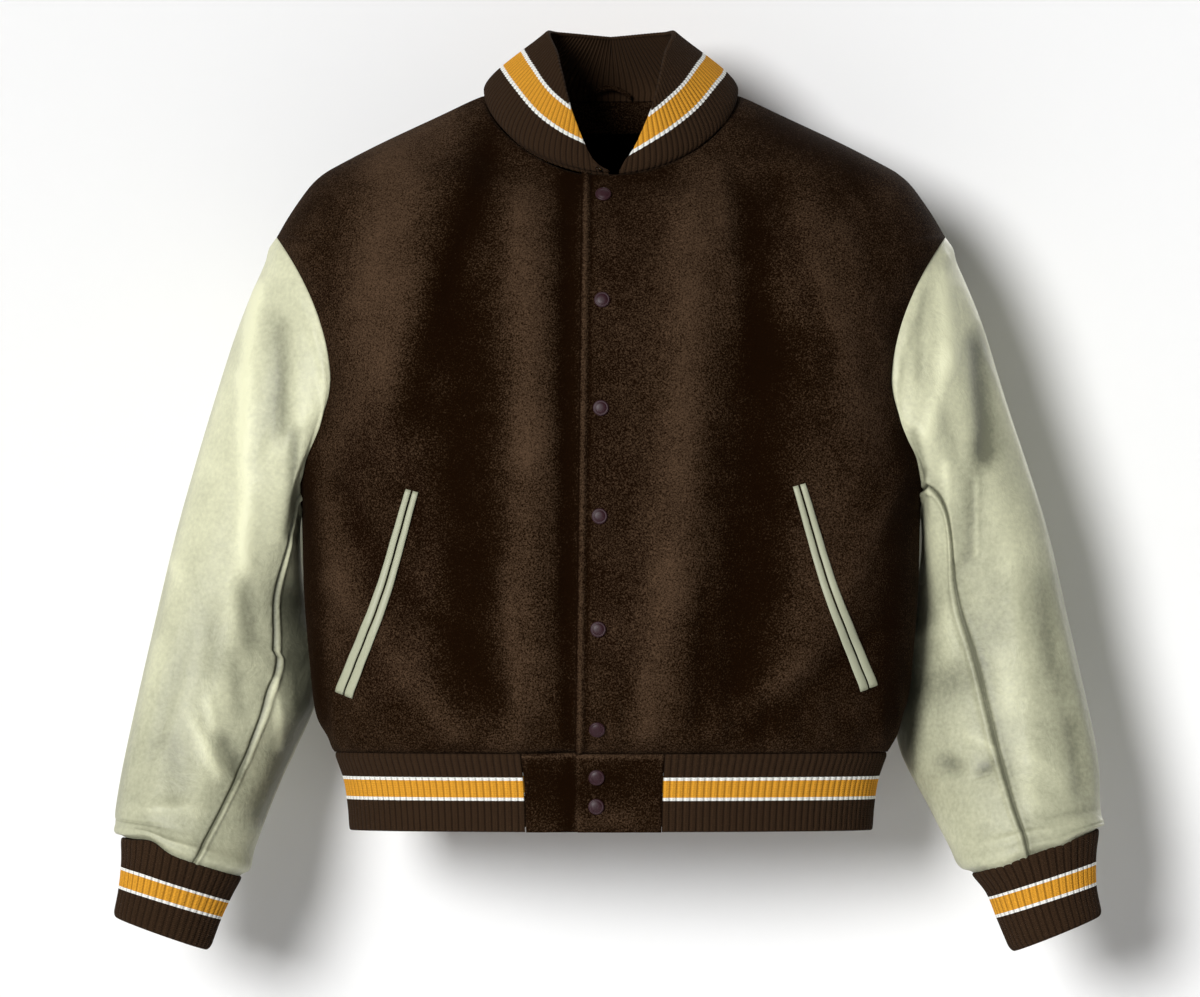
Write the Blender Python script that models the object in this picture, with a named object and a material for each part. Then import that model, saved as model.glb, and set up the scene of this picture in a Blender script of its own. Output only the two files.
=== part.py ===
"""Varsity jacket in the shape it has when worn: a hollow wool body with a ribbed collar, hem and
cuffs, set-in leather sleeves, two jetted pockets and eight snaps.

Metres, +Z up. The wearer faces -Y and the wearer's left is +X. The origin is where the shoulders
carry the jacket: on its middle plane, at the height of the neck points of the shoulder seams.
"""

import math

import bpy
from mathutils import Vector

# ---------------------------------------------------------------- walls and seams
WOOL = 0.0024
LEATHER = 0.0020
RIB = 0.0026
COLLAR_WALL = 0.0046
SEAM_GAP = 0.0004
LAY_GAP = 0.0006

# ---------------------------------------------------------------- body
HEM_SEAM_Z = -0.591
UNDERARM = Vector((0.2785, 0.010, -0.372))
SHOULDER_TIP = Vector((0.301, 0.008, -0.128))
NECK_POINT = Vector((0.1135, 0.012, 0.0))
NECK_FRONT_Z = -0.073
NECK_BACK_Z = -0.002

# height, half width at the side seam
SIDE_PROFILE = (
    (-0.5910, 0.2465),
    (-0.5800, 0.2520),
    (-0.5625, 0.2595),
    (-0.5400, 0.2655),
    (-0.5000, 0.2690),
    (-0.4550, 0.2725),
    (-0.3720, 0.2785),
)
# height, depth in front of the middle plane
FRONT_PROFILE = (
    (-0.591, 0.128),
    (-0.578, 0.138),
    (-0.555, 0.146),
    (-0.500, 0.150),
    (-0.372, 0.153),
    (-0.250, 0.151),
    (-0.165, 0.136),
    (-0.110, 0.107),
    (-0.073, 0.080),
)
# height, depth behind the middle plane
BACK_PROFILE = (
    (-0.591, 0.120),
    (-0.578, 0.129),
    (-0.555, 0.136),
    (-0.500, 0.138),
    (-0.372, 0.139),
    (-0.250, 0.146),
    (-0.150, 0.143),
    (-0.070, 0.121),
    (-0.002, 0.085),
)
# share of the way from shoulder tip to neck point, x, z
SHOULDER_LINE = (
    (0.00, 0.3010, -0.1280),
    (0.08, 0.2890, -0.1075),
    (0.18, 0.2715, -0.0828),
    (0.24, 0.2605, -0.0722),
    (0.30, 0.2490, -0.0650),
    (0.50, 0.2085, -0.0440),
    (0.78, 0.1520, -0.0175),
    (0.92, 0.1262, -0.0052),
    (1.00, 0.1135, 0.0000),
)
# stretch of the panel edge (0 hem, 1 underarm, 2 shoulder tip, 3 neck), height on the middle plane
FRONT_HEIGHTS = ((0, HEM_SEAM_Z), (1, -0.372), (2, -0.165), (3, NECK_FRONT_Z))
BACK_HEIGHTS = ((0, HEM_SEAM_Z), (1, -0.372), (2, -0.150), (3, NECK_BACK_Z))
CENTRE_PULL = 0.60
EDGE_PULL = 0.64
SIDE_TURN = 0.25
ARMHOLE_FLARE = 0.75
COLLAR_RISE = 0.45
SOFT_REACH = 0.34
EDGE_HOLD = 4

# ---------------------------------------------------------------- front opening
PLACKET_EDGE_TOP = -0.0265
PLACKET_EDGE_SLANT = 0.0115
COLLAR_END_RIGHT = -0.0018
COLLAR_END_LEFT = 0.0072
UNDERLAP_EDGE = 0.030
UNDERLAP_FADE = 0.060

# x and z where a fold starts and ends in front view, half width, height out of the cloth
FRONT_FOLDS = (
    (-0.122, -0.060, -0.225, -0.330, 0.046, 0.0070),
    (-0.128, -0.110, -0.152, -0.560, 0.050, -0.0075),
    (-0.060, -0.090, -0.058, -0.575, 0.036, 0.0055),
    (0.078, -0.070, 0.056, -0.575, 0.040, 0.0070),
    (0.134, -0.070, 0.118, -0.570, 0.046, -0.0080),
    (0.168, -0.110, 0.238, -0.380, 0.040, 0.0060),
    (0.225, -0.420, 0.130, -0.565, 0.036, 0.0060),
    (-0.215, -0.440, -0.190, -0.570, 0.036, 0.0050),
)
BACK_FOLDS = (
    (-0.150, -0.130, -0.185, -0.500, 0.045, 0.0065),
    (-0.085, -0.200, -0.100, -0.570, 0.040, -0.0060),
    (-0.020, -0.260, -0.030, -0.570, 0.038, 0.0055),
    (0.060, -0.220, 0.055, -0.570, 0.038, -0.0050),
    (0.120, -0.140, 0.150, -0.520, 0.045, 0.0070),
)
FOLD_EDGE_FADE = 0.12

# ---------------------------------------------------------------- sleeves
BOW_FRONT = 0.0385
BOW_BACK = 0.030
# section, outer x, outer z, inner x, inner z, half depth, middle y, inner line set back by,
# front seam angle, bow share
LEFT_SLEEVE = (
    (0, 0.3010, -0.1280, 0.2785, -0.3720, 0.086, 0.009, 0.000, 150, 1.00),
    (1, 0.3316, -0.1990, 0.2800, -0.4020, 0.087, 0.011, 0.005, 121, 0.62),
    (2, 0.3557, -0.2745, 0.2775, -0.4320, 0.085, 0.016, 0.022, 102, 0.28),
    (3, 0.3916, -0.3840, 0.2690, -0.4700, 0.079, 0.020, 0.042, 109, 0.06),
    (4, 0.4133, -0.4770, 0.2600, -0.5250, 0.071, 0.016, 0.046, 98, 0.00),
    (5, 0.4370, -0.5860, 0.2630, -0.5900, 0.063, 0.005, 0.038, 92, 0.00),
    (6, 0.4400, -0.6350, 0.2880, -0.6440, 0.058, -0.006, 0.018, 92, 0.00),
    (7, 0.4408, -0.6500, 0.3070, -0.6800, 0.051, -0.014, 0.006, 93, 0.00),
    (8, 0.4392, -0.6600, 0.3235, -0.7010, 0.046, -0.019, 0.000, 97, 0.00),
)
RIGHT_SLEEVE = (
    (0, 0.3010, -0.1280, 0.2785, -0.3720, 0.086, 0.009, 0.000, 150, 1.00),
    (1, 0.3318, -0.1990, 0.2800, -0.4020, 0.087, 0.011, 0.005, 146, 0.62),
    (2, 0.3570, -0.2745, 0.2780, -0.4320, 0.085, 0.016, 0.022, 131, 0.28),
    (3, 0.3892, -0.3840, 0.2705, -0.4700, 0.079, 0.020, 0.042, 118, 0.06),
    (4, 0.4118, -0.4770, 0.2640, -0.5250, 0.071, 0.016, 0.046, 117, 0.00),
    (5, 0.4361, -0.5860, 0.2880, -0.5920, 0.063, 0.005, 0.034, 119, 0.00),
    (6, 0.4455, -0.6400, 0.3075, -0.6430, 0.057, -0.006, 0.016, 113, 0.00),
    (7, 0.4450, -0.6560, 0.3225, -0.6830, 0.050, -0.014, 0.006, 107, 0.00),
    (8, 0.4410, -0.6680, 0.3312, -0.7035, 0.046, -0.019, 0.000, 103, 0.00),
)
BACK_SEAM_ANGLES = ((0, 210), (2, 222), (5, 236), (8, 240))
# section and angle at a fold's middle, its reach in sections and degrees, its height
SLEEVE_FOLDS = (
    (2.2, 58, 2.4, 17, 0.0060),
    (2.6, 92, 1.6, 17, -0.0065),
    (3.6, 172, 0.5, 40, 0.0050),
    (4.4, 150, 0.5, 34, 0.0045),
    (3.4, 292, 2.0, 18, 0.0060),
    (3.2, 258, 1.6, 17, -0.0060),
    (4.8, 215, 0.5, 36, 0.0045),
)
# share of the way down the cuff, outer x, outer z, inner x, inner z, half depth, middle y
LEFT_CUFF = (
    (0.00, 0.4392, -0.6600, 0.3235, -0.7010, 0.0455, -0.019),
    (0.30, 0.4355, -0.6850, 0.3375, -0.7175, 0.0400, -0.022),
    (0.65, 0.4357, -0.7110, 0.3468, -0.7400, 0.0370, -0.025),
    (1.00, 0.4415, -0.7380, 0.3590, -0.7710, 0.0365, -0.028),
)
RIGHT_CUFF = (
    (0.00, 0.4410, -0.6680, 0.3312, -0.7035, 0.0455, -0.019),
    (0.30, 0.4398, -0.6900, 0.3415, -0.7210, 0.0400, -0.022),
    (0.65, 0.4420, -0.7137, 0.3510, -0.7415, 0.0370, -0.025),
    (1.00, 0.4475, -0.7390, 0.3605, -0.7695, 0.0365, -0.028),
)
CUFF_GIRTH = 0.270

# ---------------------------------------------------------------- hem, collar and ribs
# height, half width, front depth, back depth
HEM_SECTIONS = (
    (-0.5914, 0.2465, 0.1276, 0.1196),
    (-0.6165, 0.2380, 0.1205, 0.1130),
    (-0.6400, 0.2345, 0.1180, 0.1105),
    (-0.6615, 0.2330, 0.1165, 0.1090),
)
RIB_PITCH = 0.0062
RIB_HEIGHT = 0.0011
LEFT_TAB = (-0.0306, 0.0459)
RIGHT_TAB = (-0.0775, 0.0300)
TAB_WALL = 0.0030
TAB_ROWS = (-0.6420, -0.6120)
TAB_STEPS = 7
TAB_SINK_CLEAR = 0.004
TAB_SINK_FADE = 0.030

# round the neck (0 front middle, 1 neck point, 2 back middle): top edge x, y, z
COLLAR_TOP = (
    (0.00, 0.0070, -0.0800, -0.0665),
    (0.10, 0.0207, -0.0775, -0.0490),
    (0.19, 0.0335, -0.0715, -0.0220),
    (0.27, 0.0405, -0.0655, -0.0050),
    (0.40, 0.0460, -0.0530, 0.0162),
    (0.60, 0.0510, -0.0330, 0.0370),
    (1.00, 0.0585, 0.0080, 0.0565),
    (1.40, 0.0480, 0.0430, 0.0572),
    (2.00, 0.0000, 0.0620, 0.0530),
)
COLLAR_FULL_HEIGHT = 0.060
COLLAR_STAND = 0.014
COLLAR_OVERHANG = 0.008
COLLAR_SWELL = 0.002
COLLAR_RIB_PITCH = 0.0056
COLLAR_EDGE_ROUND = 0.0010
COLLAR_END_WALL = 0.0022
COLLAR_LIFT = 0.0010
COLLAR_LEAN = 0.45
COLLAR_ROWS = (0.0, 0.17, 0.5, 1.0)

# ---------------------------------------------------------------- pockets, snaps and neck pieces
# share down the pocket, distance from the middle plane, z
LEFT_POCKET = ((0.0, 0.1674, -0.3510), (0.5, 0.1950, -0.4440), (1.0, 0.2300, -0.5330))
RIGHT_POCKET = ((0.0, 0.1773, -0.3560), (0.5, 0.2035, -0.4480), (1.0, 0.2385, -0.5390))
WELT_WIDTH_TOP = 0.0052
WELT_WIDTH_LOW = 0.0076
WELT_SLIT = 0.0014
WELT_RISE = 0.0020
WELT_GAP = 0.0014
WELT_STEPS = 8
WELT_BANDS = 2
WELT_END_RISE = 0.55
SNAP_RADIUS = 0.0071
SNAP_RISE = 0.0026
SNAP_GAP = 0.0009
SNAP_SIDES = 14
# from rim to dish: share of the radius, share of the rise
SNAP_PROFILE = ((1.0, 0.0), (1.0, 0.40), (0.78, 1.0), (0.40, 0.86))
SNAP_DISH = 0.78
SNAP_TOP_X = -0.0068
SNAP_HEIGHTS = (-0.0918, -0.1863, -0.2826, -0.3789, -0.4797, -0.5688, -0.6120, -0.6381)
SNAPS_ON_TAB = 2
FACING_WALL = 0.0012
# places down the back panel (3 at the neck seam), and how far it reaches to each side
FACING_TOP = 2.955
FACING_FOOT = 2.80
FACING_REACH = 0.86
FACING_STEPS = 12
FACING_ROWS = 3
LOOP_HALF_SPAN = 0.0215
LOOP_MIDDLE_X = 0.0045
LOOP_RISE = 0.0120
LOOP_WIDTH = 0.0040
LOOP_WALL = 0.0016
LOOP_FOOT_Z = -0.004
LOOP_BACK_Y = 0.0740
LOOP_BOW = 0.004
LOOP_LEAN = 0.35
LOOP_STEPS = 12

# ---------------------------------------------------------------- how finely the solids are cut
SIDE_ROWS = 7
ARMHOLE_ROWS = 12
SHOULDER_ROWS = 6
PANEL_COLUMNS = 11
SLEEVE_ROWS = 15
UNDER_SLEEVE_SPLIT = 2


# ================================================================ curves
def ease(share):
    """0 to 1 with a level start and end."""
    share = min(max(share, 0.0), 1.0)
    return share * share * (3 - 2 * share)


def read(table, column, at):
    """A smooth curve through one column of a table, read at a place along its first column."""
    last = len(table) - 1
    i = 0
    while i < last - 1 and at > table[i + 1][0]:
        i += 1
    here, after = table[i], table[i + 1]
    span = after[0] - here[0]

    def slope(k):
        low, high = table[max(k - 1, 0)], table[min(k + 1, last)]
        return (high[column] - low[column]) / (high[0] - low[0])

    s = (at - here[0]) / span
    start, end = slope(i) * span, slope(i + 1) * span
    rise = after[column] - here[column]
    return (
        here[column]
        + s * start
        + s * s * (3 * rise - 2 * start - end)
        + s * s * s * (start + end - 2 * rise)
    )


def bezier(a, b, c, d, s):
    r = 1 - s
    return a * (r * r * r) + b * (3 * r * r * s) + c * (3 * r * s * s) + d * (s * s * s)


def mirrored(point):
    return Vector((-point.x, point.y, point.z))


# ================================================================ sleeve surface
def sleeve(table, section, angle):
    """A point of the sleeve at +X. Angle 0 is its outer line, 90 degrees faces front, 180 inwards."""
    outer = Vector((read(table, 1, section), 0, read(table, 2, section)))
    inner = Vector((read(table, 3, section), 0, read(table, 4, section)))
    middle, half = (outer + inner) / 2, (outer - inner) / 2
    middle.y = read(table, 6, section)
    turn = math.radians(angle)
    across, forward = math.cos(turn), math.sin(turn)
    point = middle + half * across
    point.y += read(table, 7, section) * (1 - across) / 2 - forward * read(table, 5, section)
    bow = BOW_FRONT if forward > 0 else BOW_BACK
    sharpness = 2 if across > 0 else 6
    point.x -= bow * read(table, 9, section) * abs(forward) ** sharpness
    return point


def sleeve_fold(section, angle):
    """How far the sleeve's largest folds stand out at a place."""
    height = 0
    for at, round_at, reach, spread, rise in SLEEVE_FOLDS:
        along = (section - at) / reach
        around = (angle % 360 - round_at) / spread
        height += rise * math.exp(-along * along - around * around)
    return height * ease(section / 0.8) * ease((8 - section) / 0.8)


def armhole(angle):
    return sleeve(LEFT_SLEEVE, 0, angle)


# ================================================================ body surface
def edge_point(front, stretch):
    """The outer edge of a front or back panel: side seam, then armhole, then shoulder seam."""
    if stretch <= 1:
        z = HEM_SEAM_Z + (UNDERARM.z - HEM_SEAM_Z) * stretch
        return Vector((read(SIDE_PROFILE, 1, z), UNDERARM.y, z))
    if stretch < 2:
        angle = 180 * (2 - stretch)
        return armhole(angle if front else -angle)
    share = stretch - 2
    y = SHOULDER_TIP.y + (NECK_POINT.y - SHOULDER_TIP.y) * share
    return Vector((read(SHOULDER_LINE, 1, share), y, read(SHOULDER_LINE, 2, share)))


def centre_point(front, stretch):
    """The panel's line on the middle plane."""
    z = read(FRONT_HEIGHTS if front else BACK_HEIGHTS, 1, stretch)
    y = -read(FRONT_PROFILE, 1, z) if front else read(BACK_PROFILE, 1, z)
    return Vector((0, y, z))


def soft_edge(front, stretch):
    """The panel's edge with its corners at underarm and shoulder tip rounded off."""
    reach = min(SOFT_REACH, stretch, 3 - stretch)
    total, weights = Vector(), 0
    for step, weight in ((-1, 1), (-0.67, 2), (-0.33, 3), (0, 4), (0.33, 3), (0.67, 2), (1, 1)):
        total += edge_point(front, stretch + step * reach) * weight
        weights += weight
    return total / weights


def body(front, across, stretch):
    """A point of the body at +X, from the middle plane (0) to the panel's edge (1). The cloth is
    smooth inside, and only its last part follows the edge's corners."""
    centre, edge = centre_point(front, stretch), soft_edge(front, stretch)
    flare = (-SIDE_TURN if front else SIDE_TURN) * (1 - ease((stretch - 0.6) / 0.6))
    if 1 < stretch < 2:
        flare += ARMHOLE_FLARE * math.sin(math.pi * (2 - stretch)) ** 2
    rise = COLLAR_RISE * ease((stretch - 2.3) / 0.7) if front else 0.0
    leave = Vector((CENTRE_PULL * edge.x, 0, 0))
    arrive = Vector((flare, 1.0 if front else -1.0, rise)) * (EDGE_PULL * abs(edge.y - centre.y))
    corner = edge_point(front, stretch) - edge
    return bezier(centre, centre + leave, edge - arrive, edge, across) + corner * across**EDGE_HOLD


def fold_height(folds, x, z):
    """How far the folds of a panel stand out at a place in front view."""
    height = 0
    for top_x, top_z, low_x, low_z, half_width, rise in folds:
        run_x, run_z = low_x - top_x, low_z - top_z
        length = math.hypot(run_x, run_z)
        along = ((x - top_x) * run_x + (z - top_z) * run_z) / length
        aside = ((x - top_x) * run_z - (z - top_z) * run_x) / length
        ends = ease((along + half_width) / (2 * half_width))
        ends *= ease((length + half_width - along) / (2 * half_width))
        height += rise * ends * math.exp(-((aside / half_width) ** 2) * 1.6)
    return height


STEP = 1e-4


def normal_of(surface, a, b):
    """The outward normal of a surface of two parameters, from small steps along both."""
    low_a, high_a = surface(a - STEP, b), surface(a + STEP, b)
    low_b, high_b = surface(a, b - STEP), surface(a, b + STEP)
    return (high_a - low_a).cross(high_b - low_b).normalized()


def body_normal(front, across, stretch):
    """The body's outward normal at +X."""
    inside = min(max(stretch, STEP), 3 - STEP)
    found = normal_of(lambda a, b: body(front, a, b), across, inside)
    return found if front else -found


def draped(front, side, across, stretch):
    """(point, normal) of the body with its folds. A place past the middle plane is on the far side."""
    if across < 0:
        side, across = -side, -across
    point, normal = body(front, across, stretch), body_normal(front, across, stretch)
    if side < 0:
        point, normal = mirrored(point), mirrored(normal)
    fade = ease((1 - across) / FOLD_EDGE_FADE) * ease(stretch / 0.25) * ease((3 - stretch) / 0.5)
    rise = fold_height(FRONT_FOLDS if front else BACK_FOLDS, point.x, point.z)
    return point + normal * (rise * fade), normal


def across_at(front, stretch, x):
    """Where along a row of the body its distance from the middle plane is x."""
    low, high = 0.0, 1.0
    for _ in range(30):
        middle = (low + high) / 2
        if body(front, middle, stretch).x < x:
            low = middle
        else:
            high = middle
    return (low + high) / 2


def signed_across(stretch, x):
    return math.copysign(across_at(True, stretch, abs(x)), x)


def placket_edge(z):
    return PLACKET_EDGE_TOP + (z - NECK_FRONT_Z) * PLACKET_EDGE_SLANT


def overlap_columns(stretch):
    """The x of each column that both fronts share where they overlap."""
    start = placket_edge(read(FRONT_HEIGHTS, 1, stretch))
    return [start, COLLAR_END_RIGHT, COLLAR_END_LEFT, UNDERLAP_EDGE]


def underlap_sink(x, z):
    """How far the wearer's right front lies behind the left one, which overlaps it."""
    return (WOOL + LAY_GAP) * (1 - ease((placket_edge(z) - 0.002 - x) / UNDERLAP_FADE))


# ================================================================ seams
class SeamPoint:
    """A point that two pieces share: the wall runs inwards along its normal, and each piece stands
    half the gap to its own side of it."""

    def __init__(self, point, along, normals, into):
        bisector = Vector()
        for normal in normals:
            bisector += normal
        for direction in into:
            flat = direction - along * direction.dot(along)
            bisector += flat.normalized() * (len(normals) / max(len(into), 1))
        bisector -= along * bisector.dot(along)
        self.point = point
        self.normal = bisector.normalized()
        self.over = along.cross(self.normal).normalized()

    def pair(self, wall, side, lift=0.0):
        """(outer, inner) points of the piece that stands on that side of the seam."""
        outer = self.point + self.over * (side * SEAM_GAP / 2)
        return outer + self.normal * lift, outer - self.normal * wall


def armhole_seams():
    """The seam point of each armhole angle at +X, every 15 degrees. The sleeve is on its + side."""
    seams = {}
    for k in range(2 * ARMHOLE_ROWS):
        angle = 180 * k / ARMHOLE_ROWS
        point = armhole(angle)
        along = (armhole(angle + 0.5) - armhole(angle - 0.5)).normalized()
        sleeve_normal = -normal_of(lambda a, b: sleeve(LEFT_SLEEVE, a, b * 100), STEP, angle / 100)
        down_sleeve = sleeve(LEFT_SLEEVE, 0.05, angle) - point
        fronts = [True] if 0 < angle < 180 else [False] if angle > 180 else [True, False]
        normals, into = [sleeve_normal * len(fronts)], [down_sleeve]
        stretch = 2 - angle / 180 if angle <= 180 else angle / 180
        for front in fronts:
            near = min(max(stretch, 1 + STEP), 2 - STEP)
            normals.append(body_normal(front, 1 - STEP, near))
            if len(fronts) == 1:
                into.append(body(front, 0.98, near) - body(front, 1, near))
        if angle == 180:
            into.append(Vector((0, 0, -1)))
        elif angle == 0:
            into = []
        seams[k] = SeamPoint(point, along, normals, into)
        if seams[k].over.dot(down_sleeve) < 0:
            seams[k].over.negate()
    return seams


def edge_seam(front, stretch):
    """The seam point between front and back on the side or shoulder. The back is on its + side."""
    inside = min(max(stretch, 0.01), 2.99)
    point = edge_point(front, stretch)
    along = (edge_point(front, inside + 0.005) - edge_point(front, inside - 0.005)).normalized()
    normals = [body_normal(half, 1 - STEP, inside) for half in (True, False)]
    seam = SeamPoint(point, along, normals, [])
    if seam.over.y < 0:
        seam.over.negate()
    return seam


# ================================================================ solids from rings
def stitch(points, faces, first, second, flip=False):
    """Triangles between two lines of vertices, spread evenly whatever their counts. Where four points
    face each other, the shorter diagonal is taken, so that two pieces match along their seam."""
    i = j = 0
    found = []
    while i < len(first) - 1 or j < len(second) - 1:
        next_first = (i + 1) / (len(first) - 1) if i < len(first) - 1 else 2
        next_second = (j + 1) / (len(second) - 1) if j < len(second) - 1 else 2
        if abs(next_first - next_second) < 1e-9:
            a, b, c, d = first[i], first[i + 1], second[j + 1], second[j]
            if (points[a] - points[c]).length < (points[b] - points[d]).length:
                found += [(a, b, c), (a, c, d)]
            else:
                found += [(a, b, d), (b, c, d)]
            i, j = i + 1, j + 1
        elif next_first < next_second:
            found.append((first[i], first[i + 1], second[j]))
            i += 1
        else:
            found.append((first[i], second[j + 1], second[j]))
            j += 1
    faces += [face[::-1] for face in found] if flip else found


def wall(name, outer, inner, material, closed=False):
    """A cloth wall between two surfaces, each a list of rows. Closed rows join into rings."""
    points, faces = [], []

    def number(rows):
        numbered = []
        for row in rows:
            numbered.append([len(points) + k for k in range(len(row))])
            points.extend(row)
            if closed:
                numbered[-1].append(numbered[-1][0])
        return numbered

    skins = number(outer), number(inner)
    for rows, order in zip(skins, (1, -1)):
        for low, high in zip(rows, rows[1:]):
            for k in range(len(low) - 1):
                corners = (low[k], low[k + 1], high[k + 1], high[k])
                faces.append(corners[::order])
    outside, inside = skins
    stitch(points, faces, outside[0], inside[0], flip=True)
    stitch(points, faces, outside[-1], inside[-1])
    if not closed:
        for end, flip in ((0, False), (-1, True)):
            edges = [[row[end] for row in rows] for rows in (outside, inside)]
            stitch(points, faces, *edges, flip=flip)
    return solid(name, points, faces, material)


def solid(name, points, faces, material):
    mesh = bpy.data.meshes.new(name)
    mesh.from_pydata([tuple(p) for p in points], [], faces)
    mesh.update()
    made = bpy.data.objects.new(name, mesh)
    bpy.context.scene.collection.objects.link(made)
    if volume_of(mesh) < 0:
        mesh.flip_normals()
    mesh.shade_smooth()
    mesh.set_sharp_from_angle(angle=math.radians(40))
    mesh.materials.append(material)
    return made


def volume_of(mesh):
    mesh.calc_loop_triangles()
    total = 0
    for triangle in mesh.loop_triangles:
        a, b, c = (mesh.vertices[v].co for v in triangle.vertices)
        total += a.dot(b.cross(c)) / 6
    return total


def material(name, colour, roughness, metallic=0.0):
    made = bpy.data.materials.new(name)
    made.use_nodes = True
    shader = made.node_tree.nodes["Principled BSDF"]
    shader.inputs["Base Color"].default_value = (*colour, 1)
    shader.inputs["Roughness"].default_value = roughness
    shader.inputs["Metallic"].default_value = metallic
    return made


# ================================================================ body panels
def panel_stretches():
    """The rows of a body panel, as places along its outer edge."""
    side = [k / SIDE_ROWS for k in range(SIDE_ROWS)]
    hole = [1 + k / ARMHOLE_ROWS for k in range(ARMHOLE_ROWS)]
    shoulder = [2 + k / SHOULDER_ROWS for k in range(SHOULDER_ROWS + 1)]
    return side + hole + shoulder


def outer_edge_pair(front, stretch, armholes):
    """(outer, inner) points of a panel's edge at +X, clear of the sleeve and of the other panel."""
    side = -1 if front else 1
    if 1 < stretch < 2:
        step = round((2 - stretch) * ARMHOLE_ROWS)
        return armholes[step if front else 2 * ARMHOLE_ROWS - step].pair(WOOL, -1)
    if stretch in (1, 2):
        at_tip = armholes[0 if stretch == 2 else ARMHOLE_ROWS]
        aside = Vector((0, side * SEAM_GAP / 2, 0))
        return tuple(p + aside for p in at_tip.pair(WOOL, -1))
    return edge_seam(front, stretch).pair(WOOL, side)


def neck_seam(front, side, across, sink=0.0):
    """The seam point between body and collar. The collar is on its + side."""
    here, normal = draped(front, side, across, 3)
    here -= normal * sink
    if across == 1:
        before, after = (draped(half, side, 0.99, 3)[0] for half in (True, False))
        normal = (body_normal(True, 1, 3) + body_normal(False, 1, 3)).normalized()
        normal = normal if side > 0 else mirrored(normal)
    else:
        before, after = (draped(front, side, across + d, 3)[0] for d in (-0.01, 0.01))
    collar_normal = collar_lean(here).cross((after - before).normalized())
    if collar_normal.dot(Vector((here.x, here.y, 0))) < 0:
        collar_normal.negate()
    down_body = draped(front, side, min(across, 0.99), 2.9)[0] - here
    seam = SeamPoint(
        here,
        (after - before).normalized(),
        [normal, collar_normal.normalized()],
        [down_body.normalized(), collar_lean(here)],
    )
    if seam.over.dot(collar_lean(here)) < 0:
        seam.over.negate()
    return seam


def collar_lean(point):
    """The way the collar first leaves the neck seam: up, and a little outwards at the sides."""
    aside = Vector((point.x / NECK_POINT.x * COLLAR_LEAN, 0, 1))
    return aside.normalized()


def panel_grid(front, side, columns_of, armholes, sinks):
    """Outer and inner rows of a body panel that ends at the side seam of one or both sides."""
    outer, inner = [], []
    for stretch in panel_stretches():
        out_row, in_row = [], []
        for across, at_side in columns_of(stretch):
            if abs(across) == 1:
                pair = outer_edge_pair(front, stretch, armholes)
                if stretch == 3:
                    pair = top_corner(front, at_side)
                elif at_side < 0:
                    pair = [mirrored(p) for p in pair]
                out, into = pair
            else:
                point, normal = draped(front, at_side, across, stretch)
                sink = underlap_sink(point.x, point.z) if sinks else 0.0
                if stretch == 3:
                    out, into = neck_seam(front, at_side, across, sink).pair(WOOL, -1)
                else:
                    out = point - normal * sink
                    into = out - normal * WOOL
            out_row.append(out)
            in_row.append(into)
        outer.append(out_row)
        inner.append(in_row)
    return outer, inner


def top_corner(front, side):
    """(outer, inner) points where neck seam and shoulder seam meet."""
    at_neck = neck_seam(front, side, 1).pair(WOOL, -1)
    aside = Vector((0, (-1 if front else 1) * SEAM_GAP / 2, 0))
    return [p + aside for p in at_neck]


def front_columns(side):
    """The columns of a front: those of the overlap, then even ones out to its edge."""

    def columns(stretch):
        xs = overlap_columns(stretch)
        if side < 0:
            xs = [-x for x in reversed(xs)]
        shared = [signed_across(stretch, x) for x in xs]
        start = shared[-1]
        rest = [start + (1 - start) * (k + 1) / PANEL_COLUMNS for k in range(PANEL_COLUMNS)]
        return [(across, side) for across in shared + rest[:-1] + [1]]

    return columns


def back_columns(stretch):
    """The columns of the back, from the right side seam over the middle to the left one."""
    steps = PANEL_COLUMNS + 1
    half = [k / steps for k in range(steps)] + [1]
    return [(a, -1) for a in reversed(half[1:])] + [(a, 1) for a in half]


def body_panels(wool, armholes):
    for name, side, sinks in (("front_left", 1, False), ("front_right", -1, True)):
        outer, inner = panel_grid(True, side, front_columns(side), armholes, sinks)
        wall(name, outer, inner, wool)
    outer, inner = panel_grid(False, 1, back_columns, armholes, False)
    wall("back", outer, inner, wool)


# ================================================================ sleeves
def sleeve_skin(table, section, angle):
    """(point, normal) of a sleeve at +X with its folds."""
    point = sleeve(table, section, angle)
    near = min(max(section, STEP), 8 - STEP)
    normal = -normal_of(lambda a, b: sleeve(table, a, b * 100), near, angle / 100)
    return point + normal * sleeve_fold(section, angle), normal


def sleeve_piece(name, table, side, seams, split, leather, armholes):
    """One leather piece of a sleeve, between two seams: each a table of angles, its column and a
    whole turn to add."""
    sections = [8 * ease_in(k / SLEEVE_ROWS) for k in range(SLEEVE_ROWS + 1)]
    outer, inner = [], []
    for section in sections:
        start, end = (read(angles, column, section) + turn for angles, column, turn in seams)
        first, last = (
            round((read(angles, column, 0) + turn) * ARMHOLE_ROWS / 180)
            for angles, column, turn in seams
        )
        count = (last - first) * split
        out_row, in_row = [], []
        for k in range(count + 1):
            if section == 0:
                out, into = on_armhole(armholes, first + k / split)
            else:
                point, normal = sleeve_skin(table, section, start + (end - start) * k / count)
                if section == sections[-1]:
                    normal = level_with_cuff(table, normal)
                out, into = point, point - normal * LEATHER
            out_row.append(out)
            in_row.append(into)
        for row in (out_row, in_row):
            part_ends(row)
        outer.append(out_row)
        inner.append(in_row)
    if side < 0:
        outer, inner = ([[mirrored(p) for p in row] for row in rows] for rows in (outer, inner))
    wall(name, outer, inner, leather)


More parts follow.
